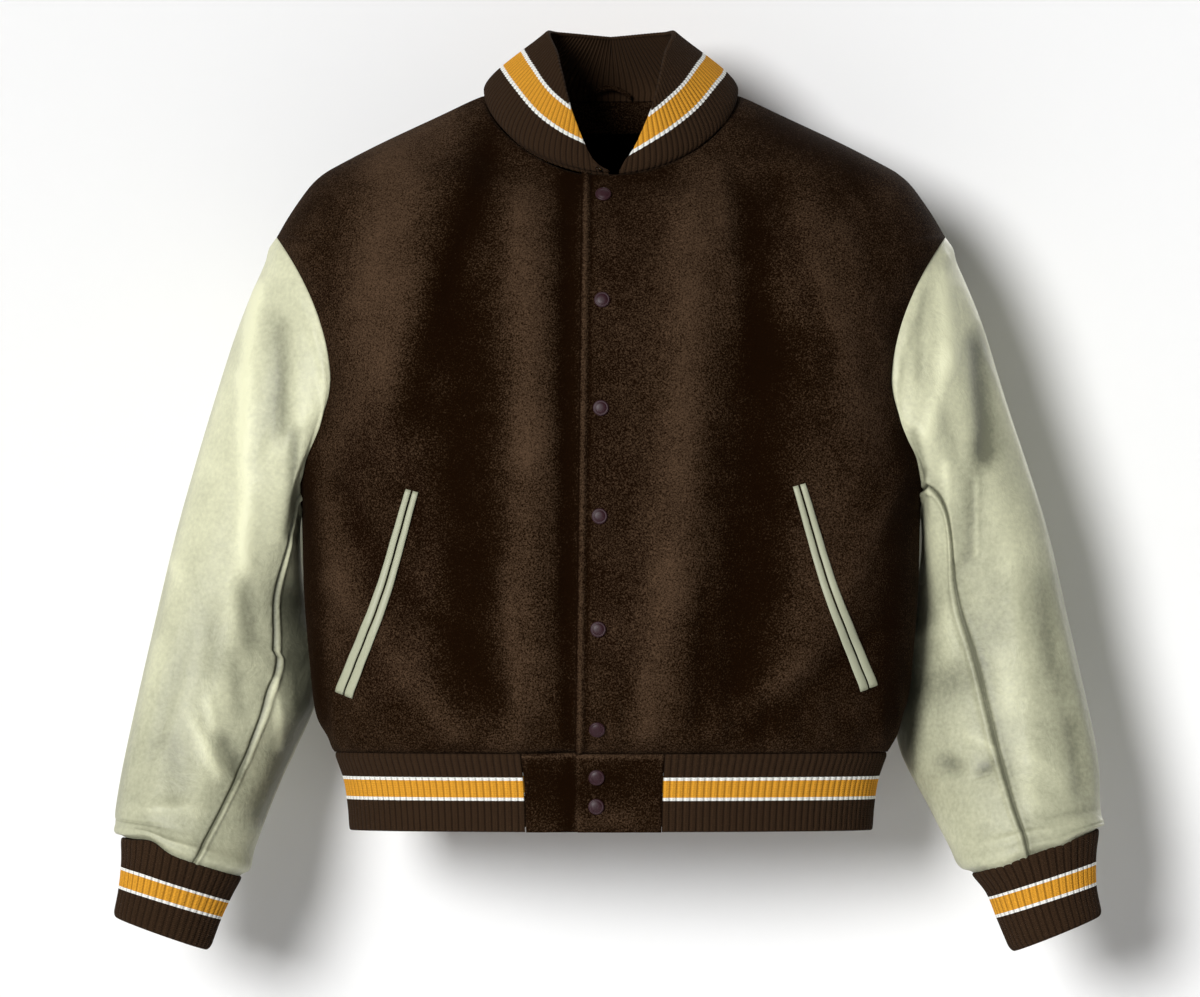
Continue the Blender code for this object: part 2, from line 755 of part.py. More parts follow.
def level_with_cuff(table, normal):
    """A wall direction that lies in the plane of the cuff's seam."""
    end = table[-1]
    axis = Vector((end[1] - end[3], 0, end[2] - end[4])).cross(Vector((0, 1, 0))).normalized()
    return (normal - axis * normal.dot(axis)).normalized()


def ease_in(share):
    """Rows stand closer together near the armhole and near the cuff."""
    return share - 0.07 * math.sin(2 * math.pi * share)


def on_armhole(armholes, step):
    """(outer, inner) points of the sleeve's top edge, on the straight runs between seam points."""
    low = math.floor(step + 1e-9)
    share = step - low
    count = 2 * ARMHOLE_ROWS
    a, b = (armholes[k % count].pair(LEATHER, 1) for k in (low, low + 1))
    return a[0].lerp(b[0], share), a[1].lerp(b[1], share)


def part_ends(row):
    """Pulls both ends of a row back from the seams that they stand at."""
    first = (row[1] - row[0]).normalized() * (SEAM_GAP / 2)
    last = (row[-2] - row[-1]).normalized() * (SEAM_GAP / 2)
    row[0], row[-1] = row[0] + first, row[-1] + last


def sleeves(leather, armholes):
    for label, side, table in (("left", 1, LEFT_SLEEVE), ("right", -1, RIGHT_SLEEVE)):
        front = (table, 8, 0)
        upper = ((BACK_SEAM_ANGLES, 1, -360), front)
        under = (front, (BACK_SEAM_ANGLES, 1, 0))
        for part, seams, split in (("upper", upper, 1), ("under", under, UNDER_SLEEVE_SPLIT)):
            sleeve_piece(f"sleeve_{part}_{label}", table, side, seams, split, leather, armholes)


# ================================================================ ribbed pieces
def ribbed(rings, closed, count):
    """Outer rows with raised ribs and plain inner rows, from rings of (point, normal) functions."""
    outer, inner = [], []
    columns = 2 * count
    for ring in rings:
        out_row, in_row = [], []
        for k in range(columns + (0 if closed else 1)):
            point, normal = ring(k / columns)
            out_row.append(point + normal * (RIB_HEIGHT if k % 2 else 0.0))
        coarse = max(count // 3, 8)
        for k in range(coarse + (0 if closed else 1)):
            point, normal = ring(k / coarse)
            in_row.append(point - normal * RIB)
        outer.append(out_row)
        inner.append(in_row)
    return outer, inner


def cuff(label, side, table, rib):
    """A ribbed tube below the sleeve, which narrows from the seam and flares again at its end."""
    top, foot = ((cuff_line(table, s, 0) + cuff_line(table, s, 1)) / 2 for s in (0, 1))
    seam_gap = (foot - top).normalized() * SEAM_GAP

    def ring_at(share):
        outer, inner = cuff_line(table, share, 0), cuff_line(table, share, 1)
        middle, half = (outer + inner) / 2, (outer - inner) / 2
        middle.y = read(table, 6, share)
        if share == 0:
            middle += seam_gap
        forward = Vector((0, -read(table, 5, share), 0))

        def ring(turn_share):
            turn = 2 * math.pi * turn_share
            point = middle + half * math.cos(turn) + forward * math.sin(turn)
            normal = half * (math.cos(turn) / half.length_squared)
            normal += forward * (math.sin(turn) / forward.length_squared)
            normal.normalize()
            point -= normal * RIB_HEIGHT
            return (point, normal) if side > 0 else (mirrored(point), mirrored(normal))

        return ring

    rings = [ring_at(share) for share in (0.0, 0.3, 0.65, 1.0)]
    outer, inner = ribbed(rings, True, round(CUFF_GIRTH / RIB_PITCH))
    wall(f"cuff_{label}", outer, inner, rib, closed=True)


def cuff_line(table, share, which):
    """The outer (0) or inner (1) line of the cuff in front view."""
    return Vector((read(table, 1 + 2 * which, share), 0, read(table, 2 + 2 * which, share)))


def hem_curve(front, across, z):
    """A point of the hem at +X, from the middle plane (0) to the side (1)."""
    rows = [(-row[0], *row[1:]) for row in HEM_SECTIONS]
    width, depth = read(rows, 1, -z), read(rows, 2 if front else 3, -z)
    sign = -1 if front else 1
    centre, edge = Vector((0, sign * depth, z)), Vector((width, UNDERARM.y, z))
    reach = EDGE_PULL * abs(edge.y - centre.y)
    leave = Vector((CENTRE_PULL * width, 0, 0))
    arrive = Vector((sign * SIDE_TURN, -sign, 0)) * reach
    return bezier(centre, centre + leave, edge - arrive, edge, across)


def hem_point(turn, z):
    """(point, normal) on the hem. Turn is 0 at the front middle, 1 left, 2 back, 3 right."""
    turn %= 4
    front = turn <= 1 or turn >= 3
    side = 1 if turn <= 2 else -1
    across = min(abs(turn - (0 if turn <= 1 else 4 if turn >= 3 else 2)), 1)
    point = hem_curve(front, across, z)
    inside = min(max(across, STEP), 1 - STEP)
    low = max(min(z, HEM_SECTIONS[0][0] - STEP), HEM_SECTIONS[-1][0] + STEP)
    normal = normal_of(lambda a, b: hem_curve(front, a, b), inside, low)
    normal = normal if front else -normal
    return (point, normal) if side > 0 else (mirrored(point), mirrored(normal))


def even_turns(start, end, count):
    """Places between two turns of the hem that are evenly spaced along it."""
    fine = 800
    middle_z = (HEM_SECTIONS[0][0] + HEM_SECTIONS[-1][0]) / 2
    turns = [start + (end - start) * k / fine for k in range(fine + 1)]
    lengths = [0.0]
    for a, b in zip(turns, turns[1:]):
        lengths.append(lengths[-1] + (hem_point(b, middle_z)[0] - hem_point(a, middle_z)[0]).length)
    found, k = [], 0
    for step in range(count + 1):
        target = lengths[-1] * step / count
        while k < fine - 1 and lengths[k + 1] < target:
            k += 1
        share = (target - lengths[k]) / (lengths[k + 1] - lengths[k])
        found.append(turns[k] + (turns[k + 1] - turns[k]) * share)
    return found, lengths[-1]


def hem_turn(x):
    """The turn on the front of the hem whose x is given."""
    low, high = 0.0, 1.0
    z = HEM_SECTIONS[1][0]
    for _ in range(30):
        middle = (low + high) / 2
        if hem_point(middle, z)[0].x < abs(x):
            low = middle
        else:
            high = middle
    return low if x >= 0 else 4 - low


def hem(rib, wool):
    top, foot = HEM_SECTIONS[0][0], HEM_SECTIONS[-1][0]
    start, end = hem_turn(LEFT_TAB[1] + SEAM_GAP), hem_turn(RIGHT_TAB[0] - SEAM_GAP)
    length = even_turns(start, end, 1)[1]
    count = round(length / RIB_PITCH)
    fine = even_turns(start, end, 2 * count)[0]

    def ring_at(z):
        def ring(share):
            place = share * 2 * count
            low = min(math.floor(place + 1e-9), 2 * count - 1)
            turn = fine[low] + (fine[low + 1] - fine[low]) * (place - low)
            point, normal = hem_point(turn, z)
            return point - normal * RIB_HEIGHT, normal

        return ring

    outer, inner = ribbed([ring_at(z) for z in (foot, HEM_SECTIONS[1][0], top)], False, count)
    wall("hem_rib", outer, inner, rib)
    for name, (start, end), sinks in (("hem_tab_left", LEFT_TAB, 0), ("hem_tab_right", RIGHT_TAB, 1)):
        hem_tab(name, start, end, sinks, wool, top, foot)


def hem_tab(name, start, end, sinks, wool, top, foot):
    """A plain wool end of the hem. The right one runs behind the left one."""
    outer, inner = [], []
    for z in (foot, *TAB_ROWS, top):
        out_row, in_row = [], []
        for k in range(TAB_STEPS + 1):
            x = start + (end - start) * k / TAB_STEPS
            turn = hem_turn(x)
            point, normal = hem_point(turn, z)
            sink = TAB_WALL + LAY_GAP if sinks else 0.0
            sink *= 1 - ease((LEFT_TAB[0] - TAB_SINK_CLEAR - x) / TAB_SINK_FADE)
            out = point - normal * sink
            out_row.append(out)
            in_row.append(out - normal * TAB_WALL)
        outer.append(out_row)
        inner.append(in_row)
    wall(name, outer, inner, wool)


# ================================================================ collar
def neck_places():
    """(front, side, across, sink, turn) of each point where the collar is sewn to the body, from the
    wearer's left front round the back to the right front. Turn runs 0 to 4 as on the hem."""
    places = []
    for across, _ in front_columns(1)(3)[2:]:
        places.append((True, 1, across, 0.0))
    for across, side in reversed(back_columns(3)):
        places.append((False, side, across, 0.0))
    for across, _ in reversed(front_columns(-1)(3)[2:]):
        x = draped(True, -1, across, 3)[0].x
        places.append((True, -1, across, underlap_sink(x, NECK_FRONT_Z)))
    return [p for p, after in zip(places, places[1:] + [None]) if not joins(p, after)]


def joins(place, after):
    """Front and back meet at the neck point, which the collar takes only once."""
    return after is not None and abs(place[2]) == 1 and abs(after[2]) == 1


def collar_top(side, turn):
    """The collar's top edge, by the turn from the front middle (0) to the back middle (2)."""
    point = Vector([read(COLLAR_TOP, c, turn) for c in (1, 2, 3)])
    return point if side > 0 else mirrored(point)


def collar_section(place):
    """(seam point, curve) of the collar at a place: the curve runs from 0 at the seam to 1 on top."""
    front, side, across, sink = place
    seam = neck_seam(front, side, across, sink)
    turn = across_turn(front, across)
    top = collar_top(side, turn)
    base = seam.point
    outward = Vector((base.x, base.y - NECK_POINT.y, 0)).normalized()
    share = min((top - base).length / COLLAR_FULL_HEIGHT, 1)
    mid_a = base + (Vector((0, 0, COLLAR_STAND)) + outward * COLLAR_OVERHANG) * share
    mid_b = base.lerp(top, 0.60) + (outward + Vector((0, 0, 1))) * COLLAR_SWELL

    def curve(s):
        return bezier(base, mid_a, mid_b, top, s)

    return seam, curve


def across_turn(front, across):
    return abs(across) if front else 2 - across


def collar(rib):
    """The folded rib band that stands round the neck, with its raised ribs and a rounded top."""
    places = neck_places()
    sections = [collar_section(place) for place in places]
    feet = [curve(0) for seam, curve in sections]
    heights = [(curve(1) - curve(0)).length for seam, curve in sections]
    walls = [min(COLLAR_WALL, COLLAR_END_WALL + height / 12) for height in heights]
    splits = [2 * max(round((b - a).length / COLLAR_RIB_PITCH), 1) for a, b in zip(feet, feet[1:])]
    outer, inner = [], []
    for s in COLLAR_ROWS:
        points, normals = [], []
        for i, (seam, curve) in enumerate(sections):
            before, after = sections[max(i - 1, 0)][1], sections[min(i + 1, len(sections) - 1)][1]
            up = curve(min(s + 0.01, 1)) - curve(max(s - 0.01, 0))
            normal = (after(s) - before(s)).cross(up).normalized()
            points.append(curve(s) + (seam.over * COLLAR_LIFT if s == 0 else Vector()))
            normals.append(seam.normal if s == 0 else normal)
        keep = COLLAR_EDGE_ROUND if s == 1.0 else 0.0
        out_row = []
        for i, split in enumerate(splits):
            for k in range(split):
                point = points[i].lerp(points[i + 1], k / split)
                normal = normals[i].lerp(normals[i + 1], k / split).normalized()
                out_row.append(point + normal * (RIB_HEIGHT * (k % 2 - 1) - keep))
        out_row.append(points[-1] - normals[-1] * (RIB_HEIGHT + keep))
        outer.append(out_row)
        inner.append([p - n * (w - keep) for p, n, w in zip(points, normals, walls)])
    wall("collar", outer, inner, rib)


# ================================================================ pockets
def on_front(side, x, z):
    """(point, normal) of the front at a place in front view, with its folds."""
    stretch = 1.0
    for _ in range(25):
        across = across_at(True, stretch, x)
        error = z - body(True, across, stretch).z
        stretch += error * 4.0
    return draped(True, side, across, stretch)


def welt(name, side, line, lane, leather):
    """One of a pocket's two leather lips, laid on the front along the pocket's line."""
    rows_out, rows_in = [], []
    for k in range(WELT_STEPS + 1):
        share = k / WELT_STEPS
        x, z = read(line, 1, share), read(line, 2, share)
        before, after = max(share - 0.02, 0), min(share + 0.02, 1)
        run_x, run_z = (read(line, c, after) - read(line, c, before) for c in (1, 2))
        length = math.hypot(run_x, run_z)
        width = WELT_WIDTH_TOP + (WELT_WIDTH_LOW - WELT_WIDTH_TOP) * share
        out_row, in_row = [], []
        for j in range(WELT_BANDS + 1):
            off = lane * (WELT_SLIT / 2 + width * j / WELT_BANDS) / length
            point, normal = on_front(side, x - run_z * off, z + run_x * off)
            crown = math.sin(math.pi * (0.12 + 0.76 * j / WELT_BANDS))
            ends = WELT_END_RISE if k in (0, WELT_STEPS) else 1.0
            out_row.append(point + normal * (WELT_GAP + WELT_RISE * crown * ends))
            in_row.append(point + normal * WELT_GAP)
        rows_out.append(out_row)
        rows_in.append(in_row)
    wall(name, rows_out, rows_in, leather)


def pockets(leather):
    for label, side, line in (("left", 1, LEFT_POCKET), ("right", -1, RIGHT_POCKET)):
        for part, lane in (("back", 1), ("front", -1)):
            welt(f"pocket_{label}_welt_{part}", side, line, lane, leather)


# ================================================================ snaps
def snap(name, point, normal, metal):
    """A turned snap cap: a low dome with a rim and a shallow dish."""
    sides = SNAP_SIDES
    across = normal.cross(Vector((0, 0, 1))).normalized()
    up = across.cross(normal)
    points, faces = [], []
    for reach, rise in SNAP_PROFILE:
        for k in range(sides):
            turn = 2 * math.pi * k / sides
            spoke = across * math.cos(turn) + up * math.sin(turn)
            points.append(point + spoke * (SNAP_RADIUS * reach) + normal * (SNAP_RISE * rise))
    for low in range(len(SNAP_PROFILE) - 1):
        for k in range(sides):
            after = (k + 1) % sides
            a, b = low * sides + k, low * sides + after
            faces.append((a, b, b + sides, a + sides))
    points.append(point + normal * (SNAP_RISE * SNAP_DISH))
    top = (len(SNAP_PROFILE) - 1) * sides
    for k in range(sides):
        faces.append((top + k, top + (k + 1) % sides, len(points) - 1))
    faces.append(tuple(range(sides - 1, -1, -1)))
    solid(name, points, faces, metal)


def snaps(metal):
    last = len(SNAP_HEIGHTS) - SNAPS_ON_TAB
    for k, z in enumerate(SNAP_HEIGHTS):
        x = SNAP_TOP_X + (z - NECK_FRONT_Z) * PLACKET_EDGE_SLANT
        if k < last:
            point, normal = on_front(-1, -x, z)
        else:
            point, normal = hem_point(hem_turn(x), z)
        snap(f"snap_{k + 1}", point + normal * SNAP_GAP, normal, metal)


# ================================================================ inside the neck
def neck_facing(wool):
    """The strip of wool inside the back below the collar."""
    outer, inner = [], []
    for j in range(FACING_ROWS + 1):
        stretch = FACING_TOP + (FACING_FOOT - FACING_TOP) * j / FACING_ROWS
        out_row, in_row = [], []
        for k in range(FACING_STEPS + 1):
            across = FACING_REACH * (2 * k / FACING_STEPS - 1)
            point, normal = draped(False, 1, across, stretch)
            out = point - normal * (WOOL + SEAM_GAP * 2)
            out_row.append(out)
            in_row.append(out - normal * FACING_WALL)
        outer.append(out_row)
        inner.append(in_row)
    wall("neck_facing", outer, inner, wool)


def hanger_loop(wool):
    """A narrow strap arched over the middle of the back neck seam, inside the collar."""
    outer, inner = [], []
    for k in range(LOOP_STEPS + 1):
        share = 2 * k / LOOP_STEPS - 1
        arch = 1 - share * share
        middle = Vector((LOOP_MIDDLE_X + LOOP_HALF_SPAN * share, LOOP_BACK_Y, LOOP_FOOT_Z))
        middle += Vector((0, -LOOP_BOW, LOOP_RISE)) * arch
        half = Vector((share * LOOP_LEAN, 0, 1)).normalized() * (LOOP_WIDTH / 2)
        outer.append([middle - half, middle + half])
        inner.append([p - Vector((0, LOOP_WALL, 0)) for p in (middle - half, middle + half)])
    wall("hanger_loop", outer, inner, wool)


# ================================================================ the jacket
for old in list(bpy.data.objects):
    bpy.data.objects.remove(old)

WOOL_CLOTH = material("wool", (0.030, 0.017, 0.010), 0.95)
LEATHER_HIDE = material("leather", (0.60, 0.60, 0.45), 0.55)
RIB_KNIT = material("rib_knit", (0.042, 0.026, 0.017), 0.9)
SNAP_METAL = material("snap_enamel", (0.10, 0.030, 0.038), 0.35, 0.3)

ARMHOLES = armhole_seams()
body_panels(WOOL_CLOTH, ARMHOLES)
sleeves(LEATHER_HIDE, ARMHOLES)
cuff("left", 1, LEFT_CUFF, RIB_KNIT)
cuff("right", -1, RIGHT_CUFF, RIB_KNIT)
hem(RIB_KNIT, WOOL_CLOTH)
collar(RIB_KNIT)
pockets(LEATHER_HIDE)
snaps(SNAP_METAL)
neck_facing(WOOL_CLOTH)
hanger_loop(WOOL_CLOTH)
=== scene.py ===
import bpy
import mathutils
import numpy as np
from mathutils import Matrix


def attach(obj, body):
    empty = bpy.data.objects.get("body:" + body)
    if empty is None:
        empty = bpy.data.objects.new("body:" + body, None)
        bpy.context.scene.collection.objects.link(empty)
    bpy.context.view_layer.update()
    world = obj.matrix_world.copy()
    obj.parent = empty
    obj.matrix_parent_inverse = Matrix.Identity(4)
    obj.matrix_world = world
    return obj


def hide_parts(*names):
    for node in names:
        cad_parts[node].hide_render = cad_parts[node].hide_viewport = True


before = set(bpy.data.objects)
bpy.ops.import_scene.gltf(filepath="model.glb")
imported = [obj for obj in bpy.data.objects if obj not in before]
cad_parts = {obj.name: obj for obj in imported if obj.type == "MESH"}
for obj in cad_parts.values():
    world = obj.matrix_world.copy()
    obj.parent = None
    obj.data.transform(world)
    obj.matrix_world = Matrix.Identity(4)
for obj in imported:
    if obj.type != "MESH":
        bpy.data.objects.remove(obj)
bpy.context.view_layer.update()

# ---------------------------------------------------------------- the wool body
# Melton wool is cut as one back and two fronts. They are sewn at the sides and shoulders, and the
# wearer's left front laps over the right one. Each panel is a thin shell that is full and round
# where a body fills it, hangs in long soft folds from the shoulders and blouses over the hem band.
WOOL = 0.0024
LAP = 0.0030
HEM_SEAM_Z = -0.591
UNDERARM = (0.2785, 0.010, -0.372)
SHOULDER_TIP = (0.301, 0.008, -0.128)
NECK_POINT = (0.1135, 0.012, 0.0)
NECK_FRONT_Z = -0.073

# height, half width at the side seam
SIDE_PROFILE = (
    (-0.5910, 0.2465),
    (-0.5800, 0.2520),
    (-0.5625, 0.2595),
    (-0.5400, 0.2655),
    (-0.5000, 0.2690),
    (-0.4550, 0.2725),
    (-0.3720, 0.2785),
)
# height, depth in front of the middle plane
FRONT_PROFILE = (
    (-0.591, 0.128),
    (-0.578, 0.138),
    (-0.555, 0.146),
    (-0.500, 0.150),
    (-0.372, 0.153),
    (-0.250, 0.151),
    (-0.165, 0.136),
    (-0.110, 0.107),
    (-0.073, 0.080),
)
# height, depth behind the middle plane
BACK_PROFILE = (
    (-0.591, 0.120),
    (-0.578, 0.129),
    (-0.555, 0.136),
    (-0.500, 0.138),
    (-0.372, 0.139),
    (-0.250, 0.146),
    (-0.150, 0.143),
    (-0.070, 0.121),
    (-0.002, 0.085),
)
# share of the way from shoulder tip to neck point, x, z
SHOULDER_LINE = (
    (0.00, 0.3010, -0.1280),
    (0.08, 0.2890, -0.1075),
    (0.18, 0.2715, -0.0828),
    (0.24, 0.2605, -0.0722),
    (0.30, 0.2490, -0.0650),
    (0.50, 0.2085, -0.0440),
    (0.78, 0.1520, -0.0175),
    (0.92, 0.1262, -0.0052),
    (1.00, 0.1135, 0.0000),
)
# place up the panel's edge (0 hem, 1 underarm, 2 shoulder tip, 3 neck), height on the middle plane
FRONT_HEIGHTS = ((0, HEM_SEAM_Z), (1, -0.372), (2, -0.165), (3, NECK_FRONT_Z))
BACK_HEIGHTS = ((0, HEM_SEAM_Z), (1, -0.372), (2, -0.150), (3, -0.002))

# x and z where a fold starts and ends in front view, half width, height out of the cloth
FRONT_FOLDS = (
    (-0.122, -0.060, -0.225, -0.330, 0.046, 0.0070),
    (-0.128, -0.110, -0.152, -0.560, 0.050, -0.0075),
    (-0.074, -0.100, -0.072, -0.575, 0.026, 0.0060),
    (-0.040, -0.100, -0.040, -0.575, 0.011, -0.0030),
    (0.078, -0.070, 0.056, -0.575, 0.040, 0.0070),
    (0.134, -0.070, 0.118, -0.570, 0.046, -0.0080),
    (0.168, -0.110, 0.238, -0.380, 0.040, 0.0060),
    (0.225, -0.420, 0.130, -0.565, 0.036, 0.0060),
    (-0.215, -0.440, -0.190, -0.570, 0.036, 0.0050),
)
FRONT_CREASES = (
    (-0.105, -0.050, -0.150, -0.190, 0.012, -0.0022),
    (-0.170, -0.075, -0.235, -0.200, 0.014, 0.0020),
    (-0.080, -0.105, -0.100, -0.250, 0.013, 0.0016),
    (-0.262, -0.330, -0.160, -0.480, 0.016, -0.0022),
    (-0.250, -0.430, -0.130, -0.585, 0.015, 0.0026),
    (-0.160, -0.470, -0.060, -0.585, 0.014, -0.0018),
    (-0.095, -0.420, -0.080, -0.585, 0.011, 0.0020),
    (-0.040, -0.480, -0.044, -0.585, 0.009, 0.0012),
    (0.094, -0.060, 0.112, -0.210, 0.012, 0.0018),
    (0.145, -0.070, 0.200, -0.260, 0.013, -0.0022),
    (0.205, -0.120, 0.262, -0.300, 0.015, 0.0018),
    (0.262, -0.330, 0.205, -0.450, 0.014, 0.0020),
    (0.250, -0.470, 0.120, -0.580, 0.016, -0.0024),
    (0.180, -0.500, 0.070, -0.585, 0.012, 0.0020),
    (0.085, -0.440, 0.074, -0.585, 0.010, -0.0018),
    (0.030, -0.500, 0.026, -0.585, 0.009, 0.0012),
)
# strokes of painted light (pale) and painted shade (dark) along the folds, down the sides and under the
# collar: as above, with a tone instead of a height
FRONT_PAINTED_LIGHT = (
    (-0.194, -0.055, -0.212, -0.290, 0.048, 1.00),
    (-0.130, -0.012, -0.215, -0.066, 0.030, 0.75),
    (0.135, -0.012, 0.230, -0.075, 0.024, -0.55),
    (-0.073, -0.085, -0.074, -0.330, 0.026, 0.95),
    (-0.074, -0.290, -0.076, -0.585, 0.024, 0.70),
    (0.080, -0.075, 0.049, -0.455, 0.032, 0.95),
    (0.050, -0.430, 0.034, -0.585, 0.024, 0.80),
    (0.165, -0.090, 0.228, -0.310, 0.030, 0.65),
    (0.200, -0.330, 0.168, -0.530, 0.034, 0.45),
    (0.165, -0.520, 0.110, -0.575, 0.026, 0.50),
    (-0.253, -0.310, -0.242, -0.500, 0.020, 0.45),
    (-0.170, -0.430, -0.166, -0.545, 0.024, 0.40),
    (-0.108, -0.030, -0.185, -0.300, 0.022, -0.90),
    (-0.128, -0.180, -0.130, -0.550, 0.036, -0.90),
    (-0.038, -0.070, -0.040, -0.585, 0.010, -1.20),
    (0.126, -0.080, 0.134, -0.250, 0.018, -0.90),
    (0.142, -0.220, 0.116, -0.570, 0.038, -0.95),
    (0.264, -0.290, 0.248, -0.570, 0.016, -0.80),
    (-0.276, -0.290, -0.262, -0.570, 0.013, -0.80),
    (-0.060, -0.075, 0.060, -0.075, 0.016, -0.50),
)
# painted light and painted shade on the back, in the same way
BACK_PAINTED_LIGHT = (
    (-0.200, -0.060, -0.215, -0.420, 0.044, 0.90),
    (-0.120, -0.040, -0.130, -0.560, 0.034, -0.80),
    (-0.045, -0.080, -0.050, -0.585, 0.028, 0.95),
    (0.015, -0.120, 0.020, -0.585, 0.022, -0.70),
    (0.075, -0.080, 0.070, -0.560, 0.030, 0.85),
    (0.135, -0.060, 0.150, -0.560, 0.032, -0.85),
    (0.205, -0.070, 0.220, -0.480, 0.040, 0.80),
    (0.266, -0.290, 0.248, -0.570, 0.016, -0.80),
    (-0.266, -0.290, -0.248, -0.570, 0.016, -0.80),
)
BACK_FOLDS = (
    (-0.150, -0.130, -0.185, -0.500, 0.045, 0.0065),
    (-0.085, -0.200, -0.100, -0.570, 0.040, -0.0060),
    (-0.020, -0.260, -0.030, -0.570, 0.038, 0.0055),
    (0.060, -0.220, 0.055, -0.570, 0.038, -0.0050),
    (0.120, -0.140, 0.150, -0.520, 0.045, 0.0070),
)
BACK_CREASES = (
    (-0.250, -0.200, -0.190, -0.330, 0.014, 0.0022),
    (-0.262, -0.330, -0.150, -0.470, 0.015, -0.0022),
    (-0.210, -0.450, -0.120, -0.585, 0.014, 0.0024),
    (-0.060, -0.420, -0.050, -0.585, 0.012, 0.0018),
    (0.010, -0.350, 0.020, -0.585, 0.012, -0.0018),
    (0.240, -0.190, 0.200, -0.360, 0.013, 0.0020),
    (0.262, -0.340, 0.140, -0.450, 0.016, -0.0020),
    (0.225, -0.440, 0.100, -0.585, 0.014, 0.0026),
    (0.085, -0.470, 0.075, -0.585, 0.010, -0.0016),
)


def ease(share):
    """0 to 1 with a level start and end."""
    share = np.clip(share, 0.0, 1.0)
    return share * share * (3 - 2 * share)


def read(table, column, at):
    """A smooth curve through one column of a table, read at places along its first column."""
    x, y = (np.array([row[c] for row in table], float) for c in (0, column))
    slope = np.gradient(y, x)
    slope[1:-1] = (y[2:] - y[:-2]) / (x[2:] - x[:-2])
    at = np.asarray(at, float)
    i = np.searchsorted(x[1:-1], at)
    span = x[i + 1] - x[i]
    s = (at - x[i]) / span
    start, end, rise = slope[i] * span, slope[i + 1] * span, y[i + 1] - y[i]
    return y[i] + s * start + s**2 * (3 * rise - 2 * start - end) + s**3 * (start + end - 2 * rise)


def points(x, y, z):
    return np.stack(np.broadcast_arrays(x, y, z), -1).astype(float)


def bezier(a, b, c, d, s):
    r = 1 - s
    return a * r**3 + b * (3 * r * r * s) + c * (3 * r * s * s) + d * s**3


def between(outer, inner, across):
    """x and z on the way from an arm's inner line (-1) to its outer one (1)."""
    return [(o + i) / 2 + (o - i) / 2 * across for o, i in zip(outer, inner)]


# how far the armhole bows in towards the middle plane, at the front and at the back
FRONT_BOW, BACK_BOW = 0.0385, 0.030


def arm_ring(outer, inner, depth, middle_y, set_back, bow, angle):
    """Points round an arm: 0 degrees is its outer line, 90 faces front, 180 is its inner line."""
    turn = np.radians(angle)
    across, forward = np.cos(turn), np.sin(turn)
    x, z = between(outer, inner, across)
    bowed = np.where(forward > 0, FRONT_BOW, BACK_BOW) * bow
    x = x - bowed * np.abs(forward) ** np.where(across > 0, 2, 6)
    y = middle_y + set_back * (1 - across) / 2 - forward * depth
    return points(x, y, z)


def armhole(angle):
    tip, pit = SHOULDER_TIP, UNDERARM
    return arm_ring((tip[0], tip[2]), (pit[0], pit[2]), 0.086, 0.009, 0.0, 1.0, angle)


def panel_edge(front, stretch):
    """The outer edge of a front or back: side seam, then armhole, then shoulder seam."""
    z = HEM_SEAM_Z + (UNDERARM[2] - HEM_SEAM_Z) * stretch
    side = points(read(SIDE_PROFILE, 1, z), UNDERARM[1], z)
    hole = armhole(180 * (2 - stretch) * (1 if front else -1))
    share = stretch - 2
    y = SHOULDER_TIP[1] + (NECK_POINT[1] - SHOULDER_TIP[1]) * share
    shoulder = points(read(SHOULDER_LINE, 1, share), y, read(SHOULDER_LINE, 2, share))
    place = stretch[..., None]
    return np.where(place <= 1, side, np.where(place < 2, hole, shoulder))


def half_body(front, across, stretch):
    """Points of the body at +X: a row for each stretch, from the middle plane to the panel's edge."""
    z = read(FRONT_HEIGHTS if front else BACK_HEIGHTS, 1, stretch)
    y = -read(FRONT_PROFILE, 1, z) if front else read(BACK_PROFILE, 1, z)
    centre = points(0, y, z)
    reach = np.minimum(0.34, np.minimum(stretch, 3 - stretch))
    steps, weights = (-1, -0.67, -0.33, 0, 0.33, 0.67, 1), (1, 2, 3, 4, 3, 2, 1)
    edge = sum(w * panel_edge(front, stretch + k * reach) for k, w in zip(steps, weights)) / 16
    flare = (-0.25 if front else 0.25) * (1 - ease((stretch - 0.6) / 0.6))
    hole = (stretch > 1) & (stretch < 2)
    flare = flare + np.where(hole, 0.75 * np.sin(np.pi * (2 - stretch)) ** 2, 0)
    rise = 0.45 * ease((stretch - 2.3) / 0.7) if front else 0 * stretch
    pull = 0.64 * np.abs(edge[:, 1] - y)
    leave = points(0.60 * edge[:, 0], 0, 0)
    arrive = points(flare, 1 if front else -1, rise) * pull[:, None]
    corner = panel_edge(front, stretch) - edge
    a, b, c, d, corner = (v[:, None] for v in (centre, centre + leave, edge - arrive, edge, corner))
    s = across[..., None]
    return bezier(a, b, c, d, s) + corner * s**4


def fold_height(folds, x, z):
    """How far the folds of a panel stand out at places in front view."""
    height = 0
    for top_x, top_z, low_x, low_z, half_width, rise in folds:
        run_x, run_z = low_x - top_x, low_z - top_z
        length = np.hypot(run_x, run_z)
        along = ((x - top_x) * run_x + (z - top_z) * run_z) / length
        aside = ((x - top_x) * run_z - (z - top_z) * run_x) / length
        ends = ease((along + half_width) / (2 * half_width))
        ends = ends * ease((length + half_width - along) / (2 * half_width))
        height = height + rise * ends * np.exp(-((aside / half_width) ** 2) * 1.6)
    return height


def normals_of(grid, outward, closed=False):
    """Unit normals of a grid of points. Outward is +1 or -1, by the order of its rows."""
    along = np.gradient(grid, axis=0)
    if closed:
        across = np.roll(grid, -1, 1) - np.roll(grid, 1, 1)
    else:
        across = np.gradient(grid, axis=1)
    found = np.cross(across, along) * outward
    return found / np.maximum(np.linalg.norm(found, axis=-1, keepdims=True), 1e-12)


